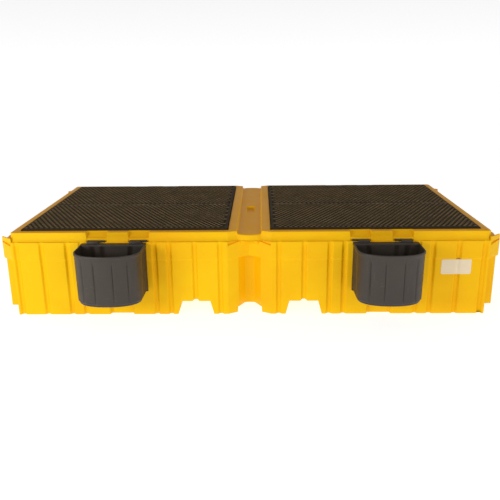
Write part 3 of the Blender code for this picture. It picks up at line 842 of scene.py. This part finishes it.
def scuff_group():
    """Fine scratches and rubbed spots, as a mask."""
    found = bpy.data.node_groups.get("handling_scuffs")
    if found:
        return found
    group, given, result = new_group(
        "handling_scuffs",
        [("Vector", "NodeSocketVector", (0, 0, 0)), ("Amount", "NodeSocketFloat", 0.5)],
        [("Mask", "NodeSocketFloat")],
    )
    along = noise(group, stretched(group, given.outputs["Vector"], (6, 160, 120)), 1.0, 2.0)
    upright = noise(group, stretched(group, given.outputs["Vector"], (190, 150, 9)), 1.0, 2.0)
    spots = noise(group, given.outputs["Vector"], 34.0, 5.0, 0.7)
    along, upright = mapped(group, along, 0.66, 0.74), mapped(group, upright, 0.68, 0.76)
    lines = math_node(group, "MAXIMUM", along, upright)
    where = mapped(group, noise(group, given.outputs["Vector"], 4.0, 2.0), 0.45, 0.62)
    scratched = math_node(group, "MULTIPLY", lines, where)
    worn_and_lit = math_node(group, "MAXIMUM", scratched, mapped(group, spots, 0.68, 0.80))
    mask = math_node(group, "MULTIPLY", worn_and_lit, given.outputs["Amount"])
    group.links.new(mask, result.inputs["Mask"])
    return group


def placed_group(tree, group, **values):
    node = add_node(tree, "ShaderNodeGroup", node_tree=group)
    for label, value in values.items():
        give(tree, node.inputs[label], value)
    return node


def moulded_plastic(name, first, second, scuffed, roughness, grain, scuff_amount, settings=None):
    """Moulded plastic with grain, shade drift and handling scuffs; constants stay on the shader."""
    found = bpy.data.materials.get(name)
    if found:
        return found
    look = bpy.data.materials.new(name)
    look.use_nodes = True
    tree = look.node_tree
    shader = tree.nodes["Principled BSDF"]
    place = add_node(tree, "ShaderNodeTexCoord").outputs["Object"]
    colours = {"First": (*first, 1), "Second": (*second, 1)}
    drift = placed_group(tree, drift_group(), Vector=place, Scale=2.2, **colours)
    skin = placed_group(tree, grain_group(), Vector=place, Scale=grain[0])
    scuffs = placed_group(tree, scuff_group(), Vector=place, Amount=scuff_amount)
    base = mix_colour(tree, scuffs.outputs["Mask"], drift.outputs["Colour"], scuffed)
    tree.links.new(base, shader.inputs["Base Color"])
    rough = mapped(tree, skin.outputs["Roughness"], 0.3, 0.7, roughness[0], roughness[1])
    tree.links.new(rough, shader.inputs["Roughness"])
    bump = add_node(tree, "ShaderNodeBump")
    bump.inputs["Strength"].default_value = grain[1]
    bump.inputs["Distance"].default_value = grain[2]
    tree.links.new(skin.outputs["Height"], bump.inputs["Height"])
    tree.links.new(bump.outputs["Normal"], shader.inputs["Normal"])
    for label, value in (settings or {}).items():
        shader.inputs[label].default_value = value
    return look


def yellow_plastic():
    """Yellow polyethylene, with painted shade that turns the faces that look up a deeper yellow."""
    found = bpy.data.materials.get("yellow_polyethylene")
    if found:
        return found
    finish = bpy.context.scene.pallet_finish
    look = moulded_plastic(
        "yellow_polyethylene", finish.yellow, finish.yellow_deep, hex_colour("EDBC30"),
        (0.45, 0.60), (420.0, finish.grain, 0.0012), 0.25, {"Specular IOR Level": 0.12},
    )
    tree = look.node_tree
    shader = tree.nodes["Principled BSDF"]
    under = shader.inputs["Base Color"].links[0].from_socket
    # Painted shade: faces that look up are mixed towards a deeper yellow, standing in for the
    # dimmer light on level tops.
    parts = add_node(tree, "ShaderNodeSeparateXYZ")
    tree.links.new(add_node(tree, "ShaderNodeTexCoord").outputs["Normal"], parts.inputs[0])
    painted_top_shade = mapped(tree, parts.outputs["Z"], 0.55, 0.95)
    deeper = mix_colour(tree, painted_top_shade, under, hex_colour("F5AC10"))
    tree.links.new(deeper, shader.inputs["Base Color"])
    return look


def shelf_plastic():
    finish = bpy.context.scene.pallet_finish
    return moulded_plastic(
        "dark_shelf_plastic", finish.shelf, hex_colour("302820"), hex_colour("6A5A48"),
        (0.40, 0.55), (520.0, 0.25, 0.0010), 0.35, {"Specular IOR Level": 0.5},
    )


def column_plastic():
    finish = bpy.context.scene.pallet_finish
    return moulded_plastic(
        "grey_column_plastic", finish.column, hex_colour("5C5854"), hex_colour("8F8B86"),
        (0.45, 0.62), (380.0, 0.3, 0.0010), 0.4,
    )


def deck_plastic():
    """Dusty brown-black deck plastic, with a painted highlight on the raised treads and paler along
    the middle seam.
    """
    found = bpy.data.materials.get("tread_deck_plastic")
    if found:
        return found
    finish = bpy.context.scene.pallet_finish
    look = moulded_plastic(
        "tread_deck_plastic", finish.deck, hex_colour("362C1C"), finish.deck_wear_and_highlight, (0.62, 0.80),
        (520.0, 0.3, 0.0010), 0.35, {"Specular IOR Level": 0.08},
    )
    tree = look.node_tree
    shader = tree.nodes["Principled BSDF"]
    under = shader.inputs["Base Color"].links[0].from_socket
    place = add_node(tree, "ShaderNodeTexCoord").outputs["Object"]
    parts = add_node(tree, "ShaderNodeSeparateXYZ")
    tree.links.new(place, parts.inputs[0])
    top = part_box(DECKS[0])[1].z
    # Painted highlight: the raised tread tops are mixed, in patches, towards the pale deck colour.
    raised = mapped(tree, parts.outputs["Z"], top + 0.0006, top + 0.0022)
    patchy = mapped(tree, noise(tree, place, 9.0, 4.0, 0.6), 0.30, 0.70, 0.45, 1.0)
    rubbed = math_node(tree, "MULTIPLY", raised, patchy)
    worn_and_lit = mix_colour(tree, rubbed, under, finish.deck_wear_and_highlight)
    seam = mapped(tree, math_node(tree, "ABSOLUTE", parts.outputs["Y"], 0.0), 0.014, 0.002)
    spots = mapped(tree, noise(tree, stretched(tree, place, (9, 60, 1)), 1.0, 4.0, 0.7), 0.42, 0.66)
    dusty = math_node(tree, "MULTIPLY", seam, spots)
    tree.links.new(mix_colour(tree, dusty, worn_and_lit, hex_colour("8F7858")), shader.inputs["Base Color"])
    return look


def sticker_paper():
    """Blank cream paper."""
    finish = bpy.context.scene.pallet_finish
    return moulded_plastic(
        "blank_sticker", finish.sticker, hex_colour("E6D2B0"), hex_colour("D8BE94"),
        (0.40, 0.55), (900.0, 0.08, 0.0005), 0.3,
    )


# ---------------------------------------------------------------- decks


def ring_points(half_x, half_y, corner, height, centre):
    """Eight points of a hole with cut corners, anticlockwise from its +X side."""
    cx, cy = centre
    cut_x, cut_y = half_x - corner, half_y - corner * 0.4
    outline = [
        (half_x, 0), (cut_x, cut_y), (0, half_y), (-cut_x, cut_y),
        (-half_x, 0), (-cut_x, -cut_y), (0, -half_y), (cut_x, -cut_y),
    ]
    return [(cx + x, cy + y, height) for x, y in outline]


def cell_points(half_x, half_y, height, centre):
    """The eight points round a cell, in the same order as a hole's."""
    cx, cy = centre
    outline = [
        (half_x, 0), (half_x, half_y), (0, half_y), (-half_x, half_y),
        (-half_x, 0), (-half_x, -half_y), (0, -half_y), (half_x, -half_y),
    ]
    return [(cx + x, cy + y, height) for x, y in outline]


def drained_cell(sheets, half, hole, centre, skin):
    """One cell of plate with a drain hole through it, its upper edge eased."""
    rings = [
        cell_points(*half, 0.0, centre),
        ring_points(hole[0] + 0.0012, hole[1] + 0.0012, 0.002, 0.0, centre),
        ring_points(hole[0], hole[1], 0.002, -0.0013, centre),
        ring_points(hole[0], hole[1], 0.002, -skin, centre),
        cell_points(*half, -skin, centre),
    ]
    sheets.grid(rings, wrap=True)


def plain_cell(sheets, half, centre, skin):
    sheets.face(cell_points(*half, 0.0, centre))
    sheets.face(cell_points(*half, -skin, centre)[::-1])


def tread(sheets, long, wide, high, centre):
    """A raised lozenge with sloping sides and a flat top."""
    cx, cy = centre
    levels = ((1.0, -0.0006), (0.86, high * 0.72), (0.62, high))
    rings = []
    for share, height in levels:
        x, y = long / 2 * share, wide / 2 * share
        outline = [(x, 0), (x * 0.45, y), (-x * 0.45, y), (-x, 0), (-x * 0.45, -y), (x * 0.45, -y)]
        rings.append([(cx + u, cy + v, height) for u, v in outline])
    sheets.grid(rings, wrap=True)
    sheets.face(rings[-1])
    sheets.face(rings[0][::-1])


def deck_mesh(sizes, long, deep, thick):
    """One deck panel about its own middle, its channel-side edge at +X and its top at Z = 0."""
    sheets, treads = Sheets(), Sheets()
    inner_x, inner_y = long - 2 * sizes.border, deep - 2 * sizes.border
    across = int(inner_x // sizes.cell_x)
    along = int(inner_y // sizes.cell_y)
    half = inner_x / across / 2, inner_y / along / 2
    hole = sizes.drain_wide / 2, sizes.drain_long / 2
    for i in range(across):
        for j in range(along):
            centre = (-inner_x / 2 + (2 * i + 1) * half[0], -inner_y / 2 + (2 * j + 1) * half[1])
            if i == across - 1 and j % 4 != 3:
                drained_cell(sheets, half, (half[0] * 0.80, half[1] * 0.55), centre, sizes.skin)
            elif i == across - 1:
                plain_cell(sheets, half, centre, sizes.skin)
                tread(treads, 0.026, 0.017, sizes.tread_high, centre)
            elif (i + j) % 2:
                drained_cell(sheets, half, hole, centre, sizes.skin)
            else:
                plain_cell(sheets, half, centre, sizes.skin)
                tread(treads, sizes.tread_long, sizes.tread_wide, sizes.tread_high, centre)
    add_border(sheets, long, deep, thick, sizes, across, along)
    plate = sheets.mesh("deck_plate", weld=2e-5, sharp=35)
    bumps = treads.mesh("deck_treads", weld=1e-6, sharp=35)
    return join_meshes("deck_panel", [plate, bumps] + deck_ribs(sizes, long, deep, thick), 35)


def add_border(sheets, long, deep, thick, sizes, across, along):
    """The plain strip round the treads, its rounded shoulder and the skirt down to the foot."""
    inner = (long / 2 - sizes.border, deep / 2 - sizes.border)
    xs = np.linspace(-inner[0], inner[0], 2 * across + 1)
    ys = np.linspace(-inner[1], inner[1], 2 * along + 1)
    loop = [(x, -inner[1]) for x in xs[:-1]] + [(inner[0], y) for y in ys[:-1]]
    loop += [(x, inner[1]) for x in xs[:0:-1]] + [(-inner[0], y) for y in ys[:0:-1]]
    loop = np.array(loop)
    levels = (
        (0.0, 0.0), (0.75, 0.0), (0.9, -0.0006), (1.0, -0.003), (1.0, -thick + 0.002),
        (0.96, -thick), (0.45, -thick), (0.40, -thick + 0.002),
        (0.35, -sizes.skin), (0.0, -sizes.skin),
    )
    rows = []
    for share, height in levels:
        reach = np.array([inner[0] + sizes.border * share, inner[1] + sizes.border * share])
        spread = loop / np.array(inner) * reach
        rows.append(np.column_stack([spread, np.full(len(loop), height)]))
    sheets.grid(rows, wrap=True)


def rib_bar(sizes, middle, thick, lift):
    """A rib's outline, its foot lifted off the bottom of the deck."""
    corners = (-1, 0), (1, 0), (1, 1), (-1, 1)
    foot, high = -thick + lift, thick - sizes.skin
    return [(middle + side * sizes.rib / 2, foot + top * high) for side, top in corners]


def deck_ribs(sizes, long, deep, thick):
    """Upright ribs under the plate, both ways."""
    ribs = []
    inner_x, inner_y = long / 2 - sizes.border, deep / 2 - sizes.border
    for y in np.linspace(-inner_y, inner_y, 7)[1:-1]:
        bar = rib_bar(sizes, y, thick, 0.002)
        ribs.append(extruded("rib_along", bar, -inner_x, inner_x, 0.0015, 1))
    for x in np.linspace(-inner_x, inner_x, 13)[1:-1]:
        bar = rib_bar(sizes, x, thick, 0.0025)
        mesh = extruded("rib_across", bar, -inner_y, inner_y, 0.0015, 1)
        mesh.transform(Matrix(((0, 1, 0, 0), (1, 0, 0, 0), (0, 0, 1, 0), (0, 0, 0, 1))))
        ribs.append(mesh)
    return ribs


# ---------------------------------------------------------------- columns


def column_mesh(height, head, foot, neck, skin, sides):
    """A hollow moulded column as a turned profile with eased corners."""
    profile = [
        (0.0, height - 0.0012), (head * 0.55, height - 0.0012),
        (head * 0.60, height), (head - 0.004, height),
        (head - 0.001, height - 0.001), (head, height - 0.004), (head, height - 0.011),
        (head - 0.003, height - 0.015), (neck + 0.004, height - 0.029), (neck, height - 0.036),
        (neck + (foot - neck) * 0.5, height * 0.45), (foot - 0.003, 0.016),
        (foot, 0.012), (foot, 0.001),
        (foot - 0.002, 0.0), (foot - skin, 0.0), (foot - skin - 0.004, 0.014),
        (neck - skin + (foot - neck) * 0.5, height * 0.45), (neck - skin, height - 0.036),
        (neck - skin, height - 0.010), (neck - skin - 0.004, height - 0.007), (0.0, height - 0.007),
    ]
    angles = np.linspace(0, 2 * math.pi, sides, endpoint=False)
    rows = [[(r * math.cos(a), r * math.sin(a), z) for a in angles] for r, z in profile]
    sheets = Sheets()
    sheets.grid(rows, wrap=True)
    return sheets.mesh("column", weld=1e-6, sharp=50)


# ---------------------------------------------------------------- bucket shelves


def shelf_loop(half, back, turn, bow, sides=120, straights=30, backs=60):
    """The shelf's plan from its back left corner round the bowed front, then along its back."""
    left = [(-half, back + (turn - back) * i / straights) for i in range(straights)]
    bowed = []
    for i in range(sides + 1):
        angle = math.pi * i / sides
        x = math.cos(angle)
        bowed.append((-half * math.copysign(abs(x) ** 0.9, x), turn - bow * math.sin(angle) ** 0.9))
    right = [(half, turn + (back - turn) * i / straights) for i in range(1, straights + 1)]
    rear = [(half - 2 * half * i / backs, back) for i in range(1, backs)]
    return np.array(left + bowed + right + rear)


def loop_normals(loop):
    """Outward normals of a clockwise-from-above or anticlockwise loop that bows towards -Y."""
    ahead = np.roll(loop, -1, axis=0) - np.roll(loop, 1, axis=0)
    normal = np.stack([ahead[:, 1], -ahead[:, 0]], axis=1)
    normal /= np.linalg.norm(normal, axis=1)[:, None] + 1e-12
    centre = loop.mean(axis=0)
    inwards = np.sum(normal * (loop - centre), axis=1).sum() < 0
    return -normal if inwards else normal


SHELF_BACK = -0.792
SHELF_OUTBOARD = 0.020
HOOK_RISE = 0.014  # how far the hooks stand over the tub's rim
SHELF_FRONT_GROOVES = (0.15, 0.34, 0.62, 0.84)
SHELF_SIDE_GROOVES = (0.22, 0.50, 0.78)
BACK_PANELS = ((-0.62, 0.07), (-0.30, 0.05), (0.55, 0.06))


def shelf_grooves(loop, half, turn):
    """How deep each point of the plan is grooved, from 0 to 1."""
    share = (loop[:, 0] + half) / (2 * half)
    front = loop[:, 1] < turn + 1e-6
    depth = np.zeros(len(loop))
    for place in SHELF_FRONT_GROOVES:
        depth += front * inside(share, place, 0.008, 0.020)
    back = loop[:, 1].max()
    along = (back - loop[:, 1]) / (back - turn)
    sides = (~front) & (np.abs(np.abs(loop[:, 0]) - half) < 1e-6)
    for place in SHELF_SIDE_GROOVES:
        depth += sides * inside(along, place, 0.05, 0.10)
    return depth


def shelf_body(sizes, low, high):
    """The tub about X = 0: foot, grooved wall, rim bead, flat rail and well."""
    half = -low.x - BAY_X - SHELF_OUTBOARD
    back, foot, top = SHELF_BACK, low.z, high.z - HOOK_RISE
    turn = back - sizes.straight
    bow = turn - low.y
    outer = shelf_loop(half - sizes.lip, back, turn, bow - sizes.lip)
    normal = loop_normals(outer)
    groove = shelf_grooves(outer, half - sizes.lip, turn)[:, None]
    flat_back = (outer[:, 1] > back - 1e-4)[:, None]
    normal_wall = np.where(flat_back, 0.0, normal)
    well = shelf_loop(
        half - sizes.lip - sizes.wall, back - sizes.rail, turn, bow - sizes.lip - sizes.wall
    )
    well_normal = loop_normals(well)
    recess = np.zeros(len(well))
    for place, wide in BACK_PANELS:
        recess += inside(well[:, 0] / half, place, wide, 0.03)
    at_back = well[:, 1] > back - sizes.rail - 1e-4
    recess = (recess * at_back)[:, None]
    rows = [outer * 0.0 + outer.mean(axis=0)]
    heights = [foot + 0.004]
    inner_foot = outer - normal * 0.018
    for plan, height in (
        (inner_foot, foot + 0.004),
        (outer - normal * 0.014, foot),
        (outer - normal_wall * (sizes.draft + 0.0105), foot),
        (outer - normal_wall * (sizes.draft + 0.0090), foot + 0.0020),
        (outer - normal_wall * (sizes.draft + 0.0080), foot + 0.0120),
        (outer - normal_wall * (sizes.draft), foot + 0.0190),
    ):
        rows.append(plan)
        heights.append(height)
    for share in (0.1, 0.35, 0.6, 0.85, 0.93):
        height = foot + 0.012 + (top - foot - 0.034) * share
        depth = sizes.groove * min(1.0, (0.97 - share) / 0.05 if share > 0.9 else 1.0)
        rows.append(outer - normal_wall * (sizes.draft * (1 - share)) - normal * groove * depth)
        heights.append(height)
    bead = (
        (0.0, -0.0205), (0.25, -0.0175), (0.85, -0.0150), (1.0, -0.0125), (1.0, -0.0050),
        (0.72, -0.0016), (0.1, 0.0),
    )
    for share, drop in bead:
        rows.append(outer + normal_wall * sizes.lip * share)
        heights.append(top + drop)
    rows.append(well + well_normal * 0.0035)
    heights.append(top)
    rows.append(well + well_normal * 0.0008)
    heights.append(top - 0.001)
    rows.append(well)
    heights.append(top - 0.004)
    for share, deep in ((0.02, 0.0), (0.05, 1.0), (0.5, 1.0), (0.95, 1.0)):
        height = top - 0.004 - (top - foot - 0.016) * share
        rows.append(well - well_normal * (0.006 * share - 0.007 * deep * recess))
        heights.append(height)
    rows.append(well - well_normal * 0.010)
    heights.append(foot + 0.0075)
    rows.append(well - well_normal * 0.020)
    heights.append(foot + 0.006)
    rows.append(well * 0.0 + well.mean(axis=0))
    heights.append(foot + 0.006)
    sheets = Sheets()
    levels = zip(rows, heights)
    sheets.grid([np.column_stack([plan, np.full(len(plan), z)]) for plan, z in levels], wrap=True)
    return sheets.mesh("shelf_tub", weld=1e-5, sharp=42)


def shelf_hooks(sizes, low, high):
    """Two hooks: a head over the shoulder with a lip in its slot, and a neck down to the rail."""
    top = high.z
    ledge = top - 0.0117
    head = [
        (-0.7702, 0.466), (-0.7702, top), (-0.7900, top),
        (-0.7900, ledge), (-0.7780, ledge), (-0.7780, 0.466),
    ]
    neck = [
        (-0.7840, ledge), (-0.7840, top - 0.0005), (-0.8080, top - 0.0005),
        (-0.8080, 0.470), (-0.7960, 0.470), (-0.7960, ledge),
    ]
    parts = []
    for side in (-1, 1):
        x = side * sizes.hook_offset + SHELF_OUTBOARD
        left = x - sizes.hook_half
        parts.append(extruded("hook_head", head, left, x + sizes.hook_half, 0.0018))
        parts.append(extruded("hook_neck", neck, left + 0.0005, left + sizes.hook_neck, 0.0018))
        seat = [(-0.789, 0.182), (-0.789, 0.226), (-0.794, 0.228), (-0.794, 0.180)]
        bumper = side * 0.140
        parts.append(extruded("bumper", seat, bumper - 0.029, bumper + 0.029, 0.001, 1))
    return parts


# ---------------------------------------------------------------- operators


class SPILL_OT_sump(bpy.types.Operator):
    """Builds the moulded sump with its ribs, rim, channel, tunnels and lining"""

    bl_idname = "spill.sump"
    bl_label = "Moulded Sump"

    def execute(self, context):
        shell = add_object("sump_shell", sump_mesh(context.scene.pallet_sump), yellow_plastic())
        settle(shell, "sump_body", "yellow_shell", "sump")
        return {"FINISHED"}


class SPILL_OT_decks(bpy.types.Operator):
    """Builds the four lift-out tread decks"""

    bl_idname = "spill.decks"
    bl_label = "Tread Decks"

    def execute(self, context):
        sizes = context.scene.pallet_deck
        low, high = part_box(DECKS[0])
        panel = deck_mesh(sizes, high.x - low.x, high.y - low.y, high.z - low.z)
        for name in DECKS:
            middle = middle_of(name)
            mesh = panel.copy()
            turn = math.pi if middle.x > 0 else 0.0
            place = Matrix.Translation((middle.x, middle.y, high.z)) @ Matrix.Rotation(turn, 4, "Z")
            mesh.transform(place)
            deck = add_object(f"{name}_panel", mesh, deck_plastic())
            settle(deck, name, "deck_foam", name)
        return {"FINISHED"}


class SPILL_OT_columns(bpy.types.Operator):
    """Builds the columns that carry the decks"""

    bl_idname = "spill.columns"
    bl_label = "Deck Columns"

    def execute(self, context):
        meshes = {}
        for name in COLUMNS:
            low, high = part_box(name)
            key = round(high.z - low.z, 4)
            if key not in meshes:
                radius = (high.y - low.y) / 2
                sides = context.scene.pallet_finish.column_sides
                meshes[key] = column_mesh(
                    high.z - low.z, radius * 0.925, radius, radius * 0.69, 0.006, sides
                )
            middle = middle_of(name)
            mesh = meshes[key].copy()
            mesh.transform(Matrix.Translation((middle.x, middle.y, low.z)))
            column = add_object(name.replace("deck_column", "column_shell"), mesh, column_plastic())
            settle(column, "sump_body", "column_grey", name)
        return {"FINISHED"}


class SPILL_OT_shelves(bpy.types.Operator):
    """Builds the two bucket shelves with their hooks"""

    bl_idname = "spill.shelves"
    bl_label = "Bucket Shelves"

    def execute(self, context):
        sizes = context.scene.pallet_shelf
        low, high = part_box(SHELVES[0])
        tub = shelf_body(sizes, low, high)
        whole = join_meshes("bucket_shelf", [tub] + shelf_hooks(sizes, low, high), 42)
        for name, hand in zip(SHELVES, (-1, 1)):
            mesh = whole.copy()
            if hand > 0:
                mesh.transform(Matrix.Scale(-1, 4, (1, 0, 0)))
                mesh.flip_normals()
            mesh.transform(Matrix.Translation((hand * (BAY_X + SHELF_OUTBOARD), 0, 0)))
            shelf = add_object(f"{name}_tub", mesh, shelf_plastic())
            settle(shelf, name, "shelf_dark", name)
        return {"FINISHED"}


class SPILL_OT_sticker(bpy.types.Operator):
    """Builds the blank sticker on the front wall"""

    bl_idname = "spill.sticker"
    bl_label = "Blank Sticker"

    def execute(self, context):
        low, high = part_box("label")
        sizes = context.scene.pallet_sump
        groove = FRONT_GROOVES[-2]
        at_groove = groove + np.linspace(-0.02, 0.02, 13)
        xs = np.unique(np.concatenate([np.linspace(low.x, high.x, 25), at_groove]))
        zs = np.linspace(low.z, high.z, 15)
        x, z = np.meshgrid(xs, zs)
        fold = 0.0042 * inside(x, groove, 0.006, 0.024)
        corner = 0.006
        cut_x = np.clip(np.abs(x - (low.x + high.x) / 2) - (high.x - low.x) / 2 + corner, 0, None)
        pull = corner - np.sqrt(np.clip(corner**2 - cut_x**2, 0, None))
        middle = (low.z + high.z) / 2
        limit = (high.z - low.z) / 2 - pull
        z = middle + np.clip(z - middle, -limit, limit)
        face = -(HALF_WIDTH - sizes.face_step) - 0.0004
        front = np.stack([x, face - 0.0007 + fold, z], axis=2)
        rear = np.stack([x, face + fold + x * 0, z], axis=2)
        sheets = Sheets()
        sheets.grid(front)
        sheets.grid(rear)
        border = [(0, slice(None)), (-1, slice(None)), (slice(None), 0), (slice(None), -1)]
        for where in border:
            sheets.grid(np.stack([front[where], rear[where]]))
        sticker = add_object("blank_sticker", sheets.mesh("blank_sticker", 2e-5), sticker_paper())
        settle(sticker, "sump_body", "blank_label", "label")
        return {"FINISHED"}


class SPILL_OT_studio(bpy.types.Operator):
    """Sets the floor, lights, world and camera"""

    bl_idname = "spill.studio"
    bl_label = "Studio"

    def execute(self, context):
        finish = context.scene.pallet_finish
        floor = add_object("studio_floor", floor_mesh(), floor_paint(finish.floor))
        area_light("key_light", (-3.2, -4.0, 1.6), (-0.4, -0.8, 0.3), 58.0)
        area_light("fill_light", (3.4, -4.2, 1.8), (0.6, -0.8, 0.3), 20.0)
        studio_world(1.02, 0.24)
        place_camera(finish.camera_lens)
        context.scene.view_settings.view_transform = "Standard"
        return {"FINISHED"}


def floor_mesh():
    sheets = Sheets()
    xs = np.linspace(-30, 30, 25)
    x, y = np.meshgrid(xs, xs)
    sheets.grid(np.stack([x, y, np.full(x.shape, SUMP_LOW.z - 0.0005)], axis=2))
    mesh = sheets.mesh("studio_floor")
    if mesh.polygons[0].normal.z < 0:
        mesh.flip_normals()
    return mesh


def floor_paint(tint):
    look = bpy.data.materials.new("studio_floor")
    look.use_nodes = True
    tree = look.node_tree
    shader = tree.nodes["Principled BSDF"]
    place = add_node(tree, "ShaderNodeTexCoord").outputs["Object"]
    share = mapped(tree, noise(tree, place, 0.7, 2.0), 0.3, 0.7)
    base = mix_colour(tree, share, tuple(tint), tuple(c * 0.985 for c in tint))
    tree.links.new(base, shader.inputs["Base Color"])
    shader.inputs["Roughness"].default_value = 0.75
    shader.inputs["Specular IOR Level"].default_value = 0.2
    shader.inputs["Emission Color"].default_value = (1.0, 1.0, 1.0, 1.0)
    shader.inputs["Emission Strength"].default_value = 0.80
    return look


def area_light(name, where, target, power):
    """A slightly warm soft box that looks at the target."""
    data = bpy.data.lights.new(name, "AREA")
    data.shape = "RECTANGLE"
    data.size, data.size_y = 1.6, 1.2
    data.energy = power
    data.color = (1.0, 0.985, 0.95)
    light = bpy.data.objects.new(name, data)
    bpy.context.scene.collection.objects.link(light)
    light.location = where
    light.rotation_euler = (Vector(target) - Vector(where)).to_track_quat("-Z", "Y").to_euler()


def studio_world(horizon, zenith):
    """White round the horizon, where it lights the walls, and darker towards the top."""
    world = bpy.data.worlds.new("studio")
    world.use_nodes = True
    tree = world.node_tree
    sky = tree.nodes["Background"]
    parts = add_node(tree, "ShaderNodeSeparateXYZ")
    tree.links.new(add_node(tree, "ShaderNodeTexCoord").outputs["Generated"], parts.inputs[0])
    sky.inputs["Color"].default_value = (1.0, 1.0, 1.0, 1.0)
    strength = mapped(tree, parts.outputs["Z"], 0.0, 0.8, horizon, zenith)
    tree.links.new(strength, sky.inputs["Strength"])
    bpy.context.scene.world = world


def place_camera(lens):
    """The camera stands a little to the right of the middle and looks down at the front."""
    yaw, pitch, roll = math.radians(-1.03), math.radians(16.83), math.radians(-0.57)
    level = math.cos(pitch)
    ahead = Vector((math.sin(yaw) * level, math.cos(yaw) * level, -math.sin(pitch)))
    right = Vector((math.cos(yaw), -math.sin(yaw), 0))
    up = right.cross(ahead)
    tilted_right = math.cos(roll) * right + math.sin(roll) * up
    tilted_up = math.cos(roll) * up - math.sin(roll) * right
    data = bpy.data.cameras.new("camera")
    data.lens = lens
    camera = bpy.data.objects.new("camera", data)
    bpy.context.scene.collection.objects.link(camera)
    turn = Matrix((tilted_right, tilted_up, -ahead)).transposed().to_4x4()
    camera.matrix_world = Matrix.Translation((0.072, -4.546, 1.574)) @ turn
    bpy.context.scene.camera = camera


class SPILL_PT_panel(bpy.types.Panel):
    """Lists the pallet's builders and their settings"""

    bl_idname = "SPILL_PT_panel"
    bl_label = "Spill Pallet"
    bl_space_type = "VIEW_3D"
    bl_region_type = "UI"
    bl_category = "Spill Pallet"

    def draw(self, context):
        for step in STEPS:
            self.layout.operator(step.bl_idname)
        for group in GROUPS:
            box = self.layout.box()
            settings = getattr(context.scene, group)
            for label in settings.bl_rna.properties.keys():
                if label not in ("rna_type", "name"):
                    box.prop(settings, label)


STEPS = (
    SPILL_OT_studio, SPILL_OT_sump, SPILL_OT_decks,
    SPILL_OT_columns, SPILL_OT_shelves, SPILL_OT_sticker,
)
GROUPS = {
    "pallet_sump": SumpSizes,
    "pallet_deck": DeckSizes,
    "pallet_shelf": ShelfSizes,
    "pallet_finish": Finishes,
}
CLASSES = (*GROUPS.values(), *STEPS, SPILL_PT_panel)


def register():
    for cls in CLASSES:
        bpy.utils.register_class(cls)
    for label, group in GROUPS.items():
        setattr(bpy.types.Scene, label, PointerProperty(type=group))


def unregister():
    for label in GROUPS:
        delattr(bpy.types.Scene, label)
    for cls in reversed(CLASSES):
        bpy.utils.unregister_class(cls)


def plain(box):
    return [[float(c) for c in corner] for corner in box]


def main():
    register()
    bpy.ops.spill.studio()
    bpy.ops.spill.sump()
    bpy.ops.spill.decks()
    bpy.ops.spill.columns()
    bpy.ops.spill.shelves()
    bpy.ops.spill.sticker()


if __name__ == "__main__":
    main()
